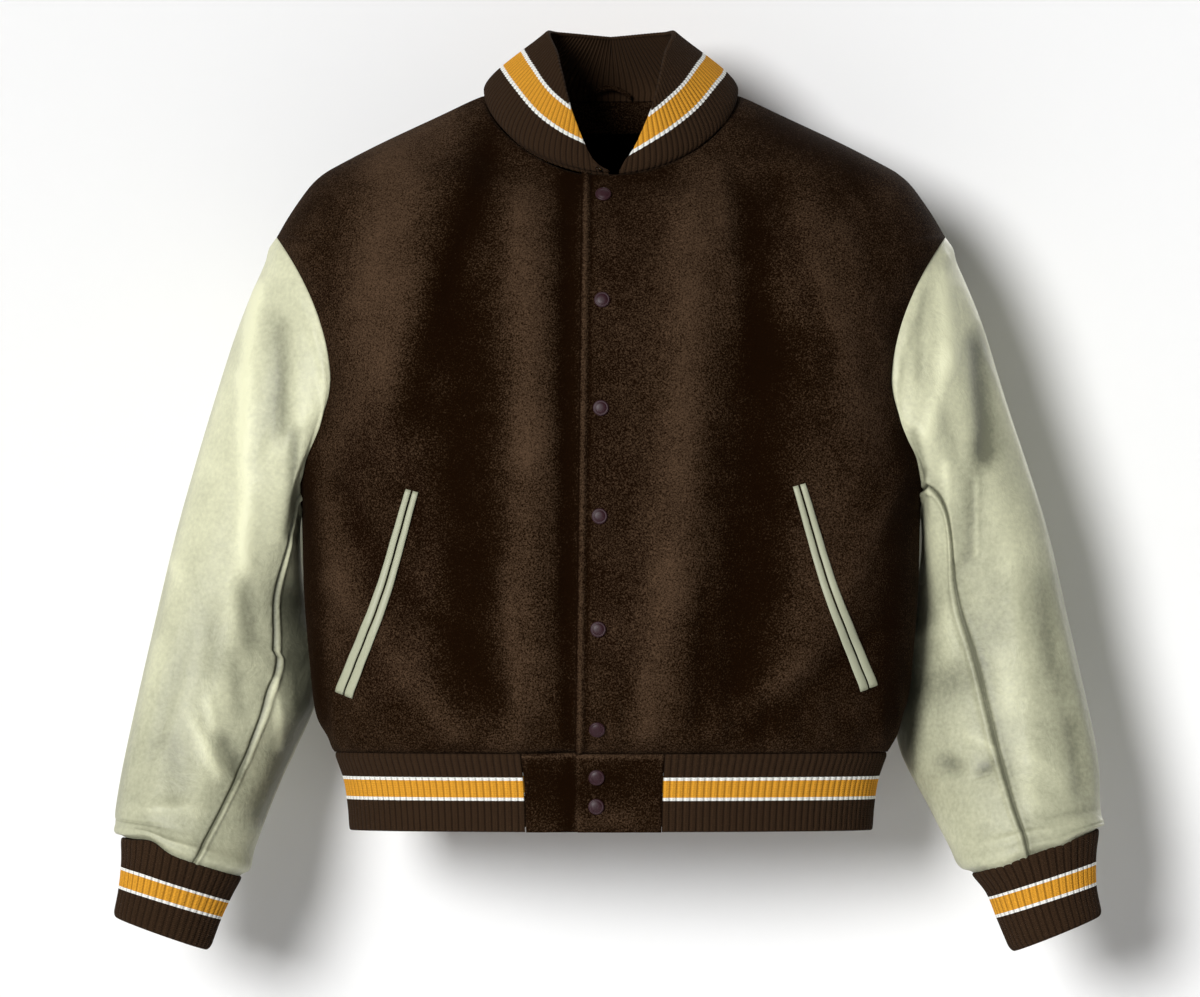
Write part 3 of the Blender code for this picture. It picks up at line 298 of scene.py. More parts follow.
def plain_body(front, across, stretch):
    """The body's points before any fold. A negative place across lies on the wearer's right."""
    grid = half_body(front, np.abs(across), stretch)
    grid[..., 0] *= np.sign(across) + (across == 0)
    return grid


def drape(front, across, stretch, folds, creases, painted_light_strokes):
    """The body's points with their folds, their normals, and a tone of painted light and painted shade."""
    grid = plain_body(front, across, stretch)
    normal = normals_of(grid, 1 if front else -1)
    fade = ease((1 - np.abs(across)) / 0.12) * ease(stretch / 0.25)[:, None]
    fade = fade * ease((3 - stretch) / 0.5)[:, None]
    near = ease((1 - np.abs(across)) / 0.05) * ease(stretch / 0.08)[:, None]
    near = near * ease((3 - stretch) / 0.15)[:, None]
    x, z = grid[..., 0], grid[..., 2]
    broad, small = fold_height(folds, x, z) * fade, fold_height(creases, x, z) * near
    rise = broad + small
    # the blousing above the hem seam gathers in small uneven puckers
    low = ease((0.42 - stretch) / 0.30) * ease(stretch / 0.05)
    gather = np.sin(x * 210 + 3 * np.sin(x * 47)) * np.sin(x * 95 + 1.3)
    rise = rise + 0.0013 * gather * low[:, None]
    grid = grid + normal * rise[..., None]
    # the tone is painted light and painted shade: the strokes, and each small crease pale on its crest and
    # dark in its trough
    return grid, normals_of(grid, 1 if front else -1), fold_height(painted_light_strokes, x, z) + small / 0.005


def paint_light_and_greying(made, tone):
    """Writes a tone at each point of the outside: painted light where it is pale, painted shade where it is
    dark, and on the sleeves also their greying down the arm.
    """
    tone = np.clip(tone, -1.8, 1.2).ravel()
    store = made.data.attributes.new("painted_light_and_greying", "FLOAT", "POINT")
    store.data.foreach_set("value", np.concatenate((tone, tone)))


def pairs(u, v):
    return np.stack(np.broadcast_arrays(u, v), -1)


def unit(vectors):
    return vectors / np.linalg.norm(vectors, axis=-1, keepdims=True)


def corners_of(grid):
    """The four corners of each face between neighbours in a grid."""
    return grid[:-1, :-1], grid[:-1, 1:], grid[1:, 1:], grid[1:, :-1]


def piece(name, vertices, faces, slots):
    """A new smooth mesh in the scene, with its materials."""
    mesh = bpy.data.meshes.new(name)
    mesh.from_pydata(vertices, [], faces)
    mesh.shade_smooth()
    for slot in slots:
        mesh.materials.append(slot)
    made = bpy.data.objects.new(name, mesh)
    bpy.context.scene.collection.objects.link(made)
    return made


def lay_metres(made, uv):
    """Writes metres along and up the cloth. A shell's inside takes those of its outside."""
    layer = made.data.uv_layers.new(name="metres")
    loops = np.empty(len(made.data.loops), int)
    made.data.loops.foreach_get("vertex_index", loops)
    layer.data.foreach_set("uv", uv.reshape(-1, 2)[loops % (uv.size // 2)].ravel())


def quads(number):
    """The faces of a grid of vertex numbers."""
    return np.stack(corners_of(number), -1).reshape(-1, 4)


# how far a shell's first and last rows are rounded inwards, as a share of its thickness
EDGE_DROP = 0.22


def shell(name, grid, normal, thickness, closed=False, uv=None, slots=()):
    """A thin shell: the grid as its outside, a second skin inwards of it and closed edges."""
    rows, columns = grid.shape[:2]
    outside = grid.copy()
    for end in (0, -1):
        outside[end] -= normal[end] * thickness * EDGE_DROP
    inside = grid - normal * thickness
    number = np.arange(rows * columns).reshape(rows, columns)
    if closed:
        number = np.concatenate((number, number[:, :1]), 1)
    total = rows * columns
    faces = [quads(number), quads(number)[:, ::-1] + total]
    rims = [(number[0], 1), (number[-1], -1)]
    if not closed:
        rims += [(number[:, 0], -1), (number[:, -1], 1)]
    for line, flip in rims:
        rim = np.stack((line[:-1] + total, line[1:] + total, line[1:], line[:-1]), -1)
        faces.append(rim[:, ::flip])
    vertices = np.concatenate((outside.reshape(-1, 3), inside.reshape(-1, 3)))
    made = piece(name, vertices.tolist(), np.concatenate(faces).tolist(), slots)
    if uv is None:
        u = np.linalg.norm(np.diff(grid, axis=1), axis=-1).mean(0).cumsum()
        v = np.linalg.norm(np.diff(grid, axis=0), axis=-1).mean(1).cumsum()
        uv = pairs(np.append(0, u)[None, :], np.append(0, v)[:, None])
    lay_metres(made, uv)
    if len(slots) > 1:
        inner = np.zeros(len(made.data.polygons), int)
        count = len(faces[0])
        inner[count : 2 * count] = 1
        made.data.polygons.foreach_set("material_index", inner)
    return made


def cut_of(form, closed=False):
    """A piece's flat width, length and area, from its form before any fold, rib or pucker."""
    if closed:
        form = np.concatenate((form, form[:, :1]), 1)
    width = np.linalg.norm(np.diff(form, axis=1), axis=-1).sum(1).max()
    length = np.linalg.norm(np.diff(form, axis=0), axis=-1).sum(0).max()
    a, b, c, d = corners_of(form)
    area = np.linalg.norm(np.cross(c - a, d - b), axis=-1).sum() / 2
    return width, length, area


def hang(made, slot, cut, nodes, held="draped", **facts):
    """The piece stands for its CAD nodes, which are hidden, and hangs from the root. Its slot and flat cut
    are not used.
    """
    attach(made, "root")
    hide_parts(*nodes)


class Shader:
    """A material or a node group, with short calls for the nodes in it."""

    def __init__(self, tree):
        self.tree = tree

    def node(self, kind, values=(), **options):
        made = self.tree.nodes.new("ShaderNode" + kind)
        for name, value in options.items():
            setattr(made, name, value)
        for name, value in dict(values).items():
            if isinstance(value, bpy.types.NodeSocket):
                self.tree.links.new(value, made.inputs[name])
            else:
                made.inputs[name].default_value = value
        return made

    def maths(self, operation, *values):
        made = self.node("Math", enumerate(values), operation=operation)
        return made.outputs[0]

    def plus(self, *values):
        return self.maths("ADD", *values)

    def times(self, *values):
        return self.maths("MULTIPLY", *values)

    def noise(self, scale, detail, **more):
        """Soft speckle, which stays with the jacket."""
        place = self.node("TexCoord").outputs["Object"]
        made = self.node("TexNoise", {"Vector": place, "Scale": scale, "Detail": detail, **more})
        return made.outputs[0]

    def blend(self, share, one, other):
        made = self.node("Mix", {0: share, 6: one, 7: other}, data_type="RGBA")
        return made.outputs[2]


def effect(name, inputs):
    """A new shader node group with its named inputs, for a colour, a roughness and a bump."""
    tree = bpy.data.node_groups.new(name, "ShaderNodeTree")
    for title, value in inputs.items():
        kind = "Float" if isinstance(value, (int, float)) else "Color" if len(value) == 4 else "Vector"
        socket = tree.interface.new_socket(title, in_out="INPUT", socket_type="NodeSocket" + kind)
        socket.default_value = value
    for title, kind in (("Base Color", "Color"), ("Roughness", "Float"), ("Bump Height", "Float")):
        tree.interface.new_socket(title, in_out="OUTPUT", socket_type="NodeSocket" + kind)
    return tree, Shader(tree), tree.nodes.new("NodeGroupInput").outputs


def give(tree, **found):
    out = tree.nodes.new("NodeGroupOutput")
    for title, socket in found.items():
        tree.links.new(socket, out.inputs[title.replace("_", " ")])


def finish_of(name, group, values, constants):
    """A material whose Principled shader takes its colour, roughness and bump from a node group."""
    made = bpy.data.materials.new(name)
    made.use_nodes = True
    shader = Shader(made.node_tree)
    principled = made.node_tree.nodes["Principled BSDF"]
    for title, value in constants.items():
        principled.inputs[title].default_value = value
    look = made.node_tree.nodes.new("ShaderNodeGroup")
    look.node_tree = group
    for title, value in values.items():
        look.inputs[title].default_value = value
    for title in ("Base Color", "Roughness"):
        made.node_tree.links.new(look.outputs[title], principled.inputs[title])
    bump = shader.node("Bump", {"Height": look.outputs["Bump Height"], "Distance": 1.0})
    made.node_tree.links.new(bump.outputs[0], principled.inputs["Normal"])
    return made


# melton: a felted nap with paler fibre ends in a random speckle, and painted light and painted shade from
# each panel's tone, pale on the crests of the folds and dark in their troughs
NAP, nap, given = effect(
    "melton nap and painted light",
    {"Ground": (0.0068, 0.0024, 0.0004, 1), "Fibre": (0.078, 0.046, 0.026, 1), "Depth": 0.0006},
)
tuft = nap.noise(700.0, 3.0, Roughness=0.75)
cloud = nap.noise(26.0, 5.0, Roughness=0.65)
# painted light and painted shade, as written at each point of the panels
painted_light_on_nap = nap.node("Attribute", attribute_name="painted_light_and_greying").outputs["Fac"]
ends = nap.plus(nap.times(painted_light_on_nap, 0.46), 0.12)
ends = nap.plus(ends, nap.times(nap.maths("SUBTRACT", cloud, 0.5), 0.8))
ends = nap.plus(ends, nap.times(nap.maths("SUBTRACT", tuft, 0.5), 3.6))
ends = nap.node("Clamp", {0: ends}).outputs[0]
give(
    NAP,
    Base_Color=nap.blend(ends, given["Ground"], given["Fibre"]),
    Roughness=nap.plus(nap.times(ends, 0.05), 0.9),
    Bump_Height=nap.times(nap.plus(tuft, cloud), given["Depth"]),
)
FELT = {
    "Sheen Weight": 0.015,
    "Sheen Roughness": 0.4,
    "Sheen Tint": (0.8, 0.55, 0.35, 1),
    "Specular IOR Level": 0.02,
}
WOOL_FACE = finish_of("melton wool", NAP, {}, FELT)
# its inside is coloured near black: painted shade for the dark hollow of the jacket
WOOL_INSIDE_PAINTED_DARK = finish_of(
    "melton wool inside, painted dark",
    NAP,
    {"Ground": (0.001, 0.0006, 0.0003, 1), "Fibre": (0.004, 0.003, 0.002, 1)},
    {"Specular IOR Level": 0.0},
)


# the lapping edge: its place at the neck, and how far it leans aside in a metre of height
PLACKET_X = -0.0265
PLACKET_LEAN = 0.0115


def placket_edge(z):
    return PLACKET_X + (z - NECK_FRONT_Z) * PLACKET_LEAN


def across_of(front, stretch, x):
    """The place across each row whose distance from the middle plane is x."""
    fine = np.linspace(0, 1, 160)
    rows = half_body(front, np.tile(fine, (len(stretch), 1)), stretch)[..., 0]
    return np.array([np.sign(v) * np.interp(abs(v), row, fine) for v, row in zip(x, rows)])


STRETCH = np.concatenate((np.linspace(0, 1, 70)[:-1], np.linspace(1, 2, 90)[:-1], np.linspace(2, 3, 46)))
CENTRE_Z = read(FRONT_HEIGHTS, 1, STRETCH)


def spread(start, end, count, crowd=0.0):
    """Places from start to end in each row, closer together at both ends by that share."""
    even = np.linspace(0, 1, count)
    return start[:, None] + (end - start)[:, None] * (even - crowd * np.sin(2 * np.pi * even) / (2 * np.pi))


ONE = np.ones(len(STRETCH))
left_across = spread(across_of(True, STRETCH, placket_edge(CENTRE_Z)), ONE, 130, 0.75)
LEFT_FRONT, LEFT_NORMAL, tone = drape(True, left_across, STRETCH, FRONT_FOLDS, FRONT_CREASES, FRONT_PAINTED_LIGHT)
# the lapping edge is turned under twice, so that it stands up in a soft roll
inset = LEFT_FRONT[..., 0] - placket_edge(LEFT_FRONT[..., 2])
roll = np.exp(-(((inset - 0.0042) / 0.0030) ** 2)) - 0.6 * np.exp(-(((inset - 0.0095) / 0.0022) ** 2))
LEFT_FRONT = LEFT_FRONT + LEFT_NORMAL * (0.0016 * roll)[..., None]
# painted highlight along the roll, and a painted shadow line at the lapping edge
tone = tone + 0.9 * roll - 1.5 * np.exp(-((inset / 0.0014) ** 2))
LEFT_NORMAL = normals_of(LEFT_FRONT, 1)
front_left = shell("front_left_wool", LEFT_FRONT, LEFT_NORMAL, WOOL, slots=(WOOL_FACE, WOOL_INSIDE_PAINTED_DARK))
paint_light_and_greying(front_left, tone)

right_across = spread(-ONE, across_of(True, STRETCH, 0.030 * ONE), 130, 0.2)
RIGHT_FRONT, RIGHT_NORMAL, tone = drape(True, right_across, STRETCH, FRONT_FOLDS, FRONT_CREASES, FRONT_PAINTED_LIGHT)
under = 1 - ease((placket_edge(RIGHT_FRONT[..., 2]) - 0.002 - RIGHT_FRONT[..., 0]) / 0.060)
RIGHT_FRONT -= RIGHT_NORMAL * (LAP * under)[..., None]
front_right = shell("front_right_wool", RIGHT_FRONT, RIGHT_NORMAL, WOOL, slots=(WOOL_FACE, WOOL_INSIDE_PAINTED_DARK))
paint_light_and_greying(front_right, tone)

back_across = spread(-ONE, ONE, 170)
BACK, BACK_NORMAL, tone = drape(False, back_across, STRETCH, BACK_FOLDS, BACK_CREASES, BACK_PAINTED_LIGHT)
back = shell("back_wool", BACK[:, ::-1], BACK_NORMAL[:, ::-1], WOOL, slots=(WOOL_FACE, WOOL_INSIDE_PAINTED_DARK))
paint_light_and_greying(back, tone[:, ::-1])

# each is cut as wide as its widest level line and as long as its longest upright one, because its
# edges curve round the neck and the armholes
for made, front, across, width, nodes, under in (
    (front_left, True, left_across, 0.40, ["front_left"], ["front_right_wool"]),
    (front_right, True, right_across, 0.40, ["front_right"], []),
    (back, False, back_across, 0.70, ["back"], []),
):
    area = cut_of(plain_body(front, across, STRETCH))[2]
    hang(made, "wool_cloth", (width, 0.65, area), nodes, rests_on=under)

# ---------------------------------------------------------------- the leather sleeves
# Each sleeve is two pieces of smooth hide, an upper and an under one, set into the armhole. The
# seam that joins them down the front stands up in a ridge. The arm hangs a little bent, so the
# hide breaks in soft creases inside the elbow and runs in long troughs above and below it.
LEATHER = 0.0020
# section, outer x, outer z, inner x, inner z, half depth, middle y, inner line set back by,
# front seam angle, bow share
LEFT_SLEEVE = (
    (0, 0.3010, -0.1280, 0.2785, -0.3720, 0.086, 0.009, 0.000, 150, 1.00),
    (1, 0.3316, -0.1990, 0.2800, -0.4020, 0.087, 0.011, 0.005, 121, 0.62),
    (2, 0.3557, -0.2745, 0.2775, -0.4320, 0.085, 0.016, 0.022, 102, 0.28),
    (3, 0.3916, -0.3840, 0.2690, -0.4700, 0.079, 0.020, 0.042, 109, 0.06),
    (4, 0.4133, -0.4770, 0.2600, -0.5250, 0.071, 0.016, 0.046, 98, 0.00),
    (5, 0.4370, -0.5860, 0.2630, -0.5900, 0.063, 0.005, 0.038, 92, 0.00),
    (6, 0.4400, -0.6350, 0.2880, -0.6440, 0.058, -0.006, 0.018, 92, 0.00),
    (7, 0.4408, -0.6500, 0.3070, -0.6800, 0.051, -0.014, 0.006, 93, 0.00),
    (8, 0.4392, -0.6600, 0.3235, -0.7010, 0.046, -0.019, 0.000, 97, 0.00),
)
RIGHT_SLEEVE = (
    (0, 0.3010, -0.1280, 0.2785, -0.3720, 0.086, 0.009, 0.000, 150, 1.00),
    (1, 0.3318, -0.1990, 0.2800, -0.4020, 0.087, 0.011, 0.005, 146, 0.62),
    (2, 0.3570, -0.2745, 0.2780, -0.4320, 0.085, 0.016, 0.022, 131, 0.28),
    (3, 0.3892, -0.3840, 0.2705, -0.4700, 0.079, 0.020, 0.042, 118, 0.06),
    (4, 0.4118, -0.4770, 0.2640, -0.5250, 0.071, 0.016, 0.046, 117, 0.00),
    (5, 0.4361, -0.5860, 0.2880, -0.5920, 0.063, 0.005, 0.034, 119, 0.00),
    (6, 0.4455, -0.6400, 0.3075, -0.6430, 0.057, -0.006, 0.016, 113, 0.00),
    (7, 0.4450, -0.6560, 0.3225, -0.6830, 0.050, -0.014, 0.006, 107, 0.00),
    (8, 0.4410, -0.6680, 0.3312, -0.7035, 0.046, -0.019, 0.000, 103, 0.00),
)
BACK_SEAM_ANGLES = ((0, 210), (2, 222), (5, 236), (8, 240))
# section and angle at a fold's middle, its reach in sections and degrees, its slant in degrees a
# section, its height
LONG_FOLDS = (
    (3.6, 172, 0.5, 40, 0, 0.0050),
    (4.4, 150, 0.5, 34, 0, 0.0045),
    (3.4, 292, 2.0, 18, 0, 0.0060),
    (3.2, 258, 1.6, 17, 0, -0.0060),
    (4.8, 215, 0.5, 36, 0, 0.0045),
)
LEFT_CREASES = (
    (0.9, 96, 0.55, 7, -14, 0.0022),
    (1.6, 74, 0.9, 8, 4, -0.0022),
    (3.9, 66, 1.2, 9, 5, 0.0020),
    (4.9, 40, 1.1, 10, -4, -0.0020),
    (5.6, 78, 0.8, 9, 6, 0.0022),
    (6.3, 52, 0.18, 30, 30, -0.0022),
    (6.9, 96, 0.14, 34, -24, 0.0020),
    (7.35, 40, 0.12, 40, 20, -0.0016),
    (4.2, 128, 0.20, 26, -36, -0.0026),
    (3.5, 140, 0.16, 24, -40, 0.0022),
    (2.0, 20, 1.2, 9, 2, 0.0016),
    (4.0, 10, 1.5, 10, 0, -0.0016),
    (3.2, 200, 0.22, 30, 30, 0.0024),
    (4.6, 250, 0.22, 34, 26, -0.0022),
    (5.4, 300, 0.9, 12, 5, 0.0020),
    (6.5, 280, 0.18, 34, -30, 0.0020),
)
RIGHT_CREASES = (
    (0.8, 92, 0.60, 7, -10, 0.0020),
    (1.8, 70, 1.0, 8, 5, -0.0022),
    (3.4, 84, 1.1, 9, 6, 0.0022),
    (4.6, 52, 1.0, 10, -5, -0.0022),
    (5.2, 92, 0.9, 9, 5, 0.0018),
    (6.0, 70, 0.16, 32, -28, 0.0022),
    (6.6, 44, 0.14, 34, 26, -0.0020),
    (7.2, 84, 0.12, 38, 18, 0.0016),
    (4.5, 136, 0.20, 26, -34, 0.0024),
    (3.8, 150, 0.16, 22, -40, -0.0022),
    (2.4, 24, 1.3, 10, 2, 0.0014),
    (4.4, 12, 1.4, 10, 0, -0.0016),
    (3.4, 205, 0.22, 30, 28, -0.0024),
    (4.8, 256, 0.22, 34, 24, 0.0022),
    (5.5, 305, 0.9, 12, -5, 0.0020),
    (6.6, 285, 0.18, 34, 30, -0.0020),
)

# folds on the front of each sleeve: x and z where it starts and ends in front view, half width, height, and
# its tone: painted light where positive, painted shade where negative; the darkest strokes, on the inner
# side by the body, are painted shade and the body's painted shadow
RIGHT_FOLDS = (
    (0.3170, -0.170, 0.3285, -0.260, 0.0090, 0.0026, 0.95),
    (0.3285, -0.250, 0.3265, -0.430, 0.0100, 0.0028, 1.00),
    (0.2990, -0.200, 0.2970, -0.310, 0.0140, -0.0042, -1.15),
    (0.2750, -0.150, 0.2540, -0.225, 0.0080, 0.0012, 0.50),
    (0.2830, -0.300, 0.2860, -0.400, 0.0070, -0.0026, -1.20),
    (0.3280, -0.440, 0.3200, -0.500, 0.0130, -0.0020, -0.85),
    (0.3580, -0.460, 0.3530, -0.525, 0.0160, -0.0014, -0.40),
    (0.4050, -0.400, 0.3850, -0.440, 0.0060, 0.0012, 0.35),
    (0.4110, -0.490, 0.4200, -0.565, 0.0180, 0.0010, 0.35),
    (0.3770, -0.560, 0.3500, -0.615, 0.0070, 0.0022, 0.70),
    (0.3620, -0.540, 0.3560, -0.570, 0.0050, 0.0014, 0.45),
    (0.3500, -0.575, 0.3310, -0.615, 0.0100, -0.0020, -0.95),
    (0.3400, -0.500, 0.3300, -0.560, 0.0090, -0.0012, -0.45),
    (0.3960, -0.580, 0.3900, -0.640, 0.0130, -0.0014, -0.35),
    (0.2900, -0.440, 0.2760, -0.560, 0.0190, -0.0014, -1.60),
    (0.2720, -0.545, 0.3160, -0.655, 0.0180, -0.0012, -1.50),
    (0.3050, -0.520, 0.2980, -0.590, 0.0050, 0.0014, 0.90),
)
LEFT_FOLDS = (
    (0.2980, -0.160, 0.3040, -0.250, 0.0110, 0.0028, 0.90),
    (0.3040, -0.230, 0.2840, -0.310, 0.0100, 0.0026, 0.80),
    (0.3300, -0.215, 0.3400, -0.330, 0.0130, -0.0048, -1.60),
    (0.2700, -0.340, 0.2650, -0.610, 0.0110, -0.0010, -1.50),
    (0.3330, -0.310, 0.3180, -0.425, 0.0120, -0.0020, -0.75),
    (0.2800, -0.170, 0.2770, -0.260, 0.0060, -0.0014, -0.40),
    (0.2700, -0.300, 0.2820, -0.345, 0.0060, -0.0022, -1.10),
    (0.3000, -0.330, 0.3080, -0.420, 0.0060, 0.0016, 0.50),
    (0.3290, -0.345, 0.3280, -0.415, 0.0030, 0.0010, 0.60),
    (0.3710, -0.350, 0.3740, -0.430, 0.0200, 0.0016, 0.35),
    (0.3900, -0.430, 0.3980, -0.520, 0.0120, -0.0016, -0.40),
    (0.3010, -0.460, 0.3050, -0.510, 0.0100, 0.0016, 0.45),
    (0.3500, -0.500, 0.3600, -0.560, 0.0140, 0.0014, 0.40),
    (0.2960, -0.596, 0.3140, -0.606, 0.0100, -0.0022, -0.90),
    (0.3280, -0.608, 0.3450, -0.600, 0.0080, -0.0018, -0.80),
    (0.3180, -0.575, 0.3500, -0.590, 0.0050, 0.0016, 0.55),
    (0.3720, -0.590, 0.4100, -0.620, 0.0110, 0.0014, 0.35),
    (0.4150, -0.560, 0.4230, -0.630, 0.0110, -0.0014, -0.35),
)
# section, how grey the hide is round the whole arm there
RIGHT_GREYING = ((0, 0.0), (2, -0.05), (3.5, -0.25), (5, -0.60), (6.5, -0.75), (8, -0.60))
LEFT_GREYING = ((0, 0.0), (1, 0.0), (2.2, -0.25), (3.2, -0.75), (4.2, -0.90), (6, -0.70), (8, -0.60))
# how far the foot of each sleeve stands up or hangs over the cuff: place across (1 outer, -1
# inner), reach, height
RIGHT_FOOT = ((0.55, 0.28, 0.0066), (-0.55, 0.30, -0.0010))
LEFT_FOOT = ((-0.50, 0.30, -0.0052), (0.40, 0.20, -0.0030))

# the hide: a random mottle, paled by painted light, darkened by painted shade and by the greying, as
# written at each point of the sleeves
GRAIN, grain, given = effect(
    "hide grain",
    {"Colour": (0.17, 0.172, 0.115, 1), "Pale Hide": (0.73, 0.73, 0.50, 1), "Depth": 0.0016},
)
crumple = grain.noise(42.0, 6.0, Roughness=0.62, Distortion=0.6)
patch = grain.noise(17.0, 5.0, Roughness=0.6)
fine = grain.noise(260.0, 4.0)
light_and_greying = grain.node("Attribute", attribute_name="painted_light_and_greying").outputs["Fac"]
mottled = grain.plus(grain.times(patch, 0.6), grain.times(fine, 0.4))
paler = grain.plus(grain.plus(mottled, 0.22), grain.times(light_and_greying, 0.42))
give(
    GRAIN,
    Base_Color=grain.blend(paler, given["Colour"], given["Pale Hide"]),
    Roughness=grain.plus(grain.times(fine, 0.18), 0.42),
    Bump_Height=grain.times(grain.plus(crumple, grain.times(fine, 0.1)), given["Depth"]),
)
HIDE = finish_of(
    "smooth hide", GRAIN, {}, {"Coat Weight": 0.05, "Coat Roughness": 0.45, "Specular IOR Level": 0.4}
)
HIDE_INSIDE = finish_of(
    "hide inside", GRAIN, {"Colour": (0.10, 0.09, 0.07, 1), "Pale Hide": (0.2, 0.19, 0.14, 1)}, {}
)


def sleeve_ring(table, section, angle):
    row = [read(table, c, section) for c in range(1, 10)]
    return arm_ring(row[0:2], row[2:4], row[4], row[5], row[6], row[8], angle)


def crease_height(creases, section, angle):
    height = 0
    for at, round_at, reach, spread_by, slant, rise in creases:
        along = (section - at) / reach
        around = ((angle - round_at - slant * (section - at) + 180) % 360 - 180) / spread_by
        height = height + rise * np.exp(-along * along - around * around)
    return height


def mirror(grid, side):
    return grid * np.array([side, 1.0, 1.0])


SLEEVE_END = 8
even = np.linspace(0, 1, 170)
SECTION = SLEEVE_END * (even - 0.07 * np.sin(2 * np.pi * even))
UP_ARM = np.array([-0.436, 0.0, 0.900])


def foot_shift(feet, across):
    """How far the seam between sleeve and cuff stands up the arm at places across it."""
    return sum(rise * np.exp(-(((across - at) / reach) ** 2)) for at, reach, rise in feet)


# rough measures of an arm, which turn angles and sections into metres: its radius, and how far a
# section reaches at the armhole and at the cuff
ARM_RADIUS, TOP_REACH, FOOT_REACH = 0.075, 0.045, 0.020

# the last two are the kink in the front seam, in degrees, and the upper piece's widest level line
for label, side, table, creases, folds, feet, greying, kink, widest in (
    ("left", 1, LEFT_SLEEVE, LEFT_CREASES, LEFT_FOLDS, LEFT_FOOT, LEFT_GREYING, 0.0, 0.35),
    ("right", -1, RIGHT_SLEEVE, RIGHT_CREASES, RIGHT_FOLDS, RIGHT_FOOT, RIGHT_GREYING, 3.4, 0.36),
):
    front_seam, back_seam = read(table, 8, SECTION), read(BACK_SEAM_ANGLES, 1, SECTION)
    front_seam = front_seam + kink * (ease((SECTION - 3.84) / 0.07) - ease((SECTION - 3.98) / 0.40))
    for part, start, end, count in (
        ("upper", back_seam - 360, front_seam, 150),
        ("under", front_seam, back_seam, 84),
    ):
        angle = spread(start, end, count, 0.8)
        section = np.tile(SECTION[:, None], (1, count))
        grid = sleeve_ring(table, section, angle)
        cut = cut_of(grid)
        # the upper piece's edge curves round the armhole, so its width is a level line instead
        if part == "upper":
            cut = (widest, *cut[1:])
        normal = normals_of(grid, 1)
        fade = ease(section / 0.8) * ease((SLEEVE_END - section) / 0.8)
        near = ease(section / 0.25) * ease((SLEEVE_END - section) / 0.25)
        rise = crease_height(LONG_FOLDS, section, angle) * fade
        rise = rise + crease_height(creases, section, angle) * near
        # the creases are painted light on their crests and painted shade in their troughs, and the greying
        # darkens the hide down the arm
        tone = crease_height(creases, section, angle) / 0.006 + read(greying, 1, section)
        facing = np.sin(np.radians(angle))
        # the strokes also give painted light and painted shade on the front, and the same strokes, shifted,
        # on the back
        for seen, aside, below in ((ease(facing * 4), 0, 0), (ease(-facing * 4), 0.010, 0.022)):
            at = grid[..., 0] + aside, grid[..., 2] + below
            rise = rise + fold_height([row[:6] for row in folds], *at) * seen * near
            tone = tone + fold_height([(*row[:5], row[6]) for row in folds], *at) * seen
        # the hide dips into both seams and stands up just beside them; the armhole edge is eased in
        radius = np.radians(1) * ARM_RADIUS
        for seam in (start, end):
            off = np.abs(angle - seam[:, None]) * radius
            ridge = 0.0004 if part == "upper" else 0.0017
            groove = np.exp(-((off / 0.0018) ** 2))
            rise = rise + ridge * np.exp(-(((off - 0.0044) / 0.0026) ** 2)) - 0.0024 * groove
            # painted shade in each seam's groove, and on the upper piece a broader band of it beside the
            # seam
            tone = tone - 1.6 * groove - (0.5 * np.exp(-((off / 0.0090) ** 2)) if part == "upper" else 0)
        off = section * TOP_REACH
        ripple = 1 + 0.35 * np.sin(np.radians(angle) * 17 + np.sin(np.radians(angle) * 5))
        rise = rise + 0.0018 * ripple * np.exp(-(((off - 0.007) / 0.005) ** 2))
        # and the hide puffs out over the top of the cuff
        foot = (SLEEVE_END - section) * FOOT_REACH
        rise = rise + 0.0034 * np.exp(-(((foot - 0.011) / 0.008) ** 2)) - 0.0032 * (1 - ease(foot / 0.008))
        # painted shade along the foot where the hide turns under
        tone = tone - 0.9 * (1 - ease(foot / 0.007))
        shift = foot_shift(feet, np.cos(np.radians(angle))) * ease((section - 6.2) / 1.8)
        grid = grid + shift[..., None] * UP_ARM
        grid = grid + normal * rise[..., None]
        grid = mirror(grid, side)
        slots = (HIDE, HIDE_INSIDE)
        made = shell(f"{part}_sleeve_{label}", grid, normals_of(grid, side), LEATHER, slots=slots)
        paint_light_and_greying(made, tone)
        hang(made, "sleeve_leather", cut, [f"sleeve_{part}_{label}"])

# ---------------------------------------------------------------- the striped rib: cuffs and hem
# Ribbed knit is made in bands, with one gold stripe between two white ones knitted in. The cuffs
# are tubes that pull the sleeve in. The hem band goes round the body between two plain wool tabs
# that carry the lowest snaps.
RIB = 0.0026
RIB_PITCH = 0.0062
RIB_HEIGHT = 0.0011
# place across one rib, share of its height
RIB_SHAPE = ((0.0, 0.0), (0.10, 0.60), (0.28, 0.92), (0.50, 1.0), (0.72, 0.92), (0.90, 0.60))

KNIT, knit, given = effect(
    "striped rib knit",
    {
        "Ground": (0.036, 0.0195, 0.0100, 1),
        "Gold": (0.75, 0.345, 0.033, 1),
        "White": (0.95, 0.95, 0.90, 1),
        "Stripe Low": 0.030,
        "Stripe High": 0.050,
        "Line": 0.003,
        "Pitch": RIB_PITCH,
        "Depth": 0.0005,
    },
)
metres = knit.node("SeparateXYZ", {0: knit.node("UVMap", uv_map="metres").outputs[0]})
around, height = metres.outputs[0], metres.outputs[1]


def over(value, edge):
    return knit.maths("GREATER_THAN", value, edge)


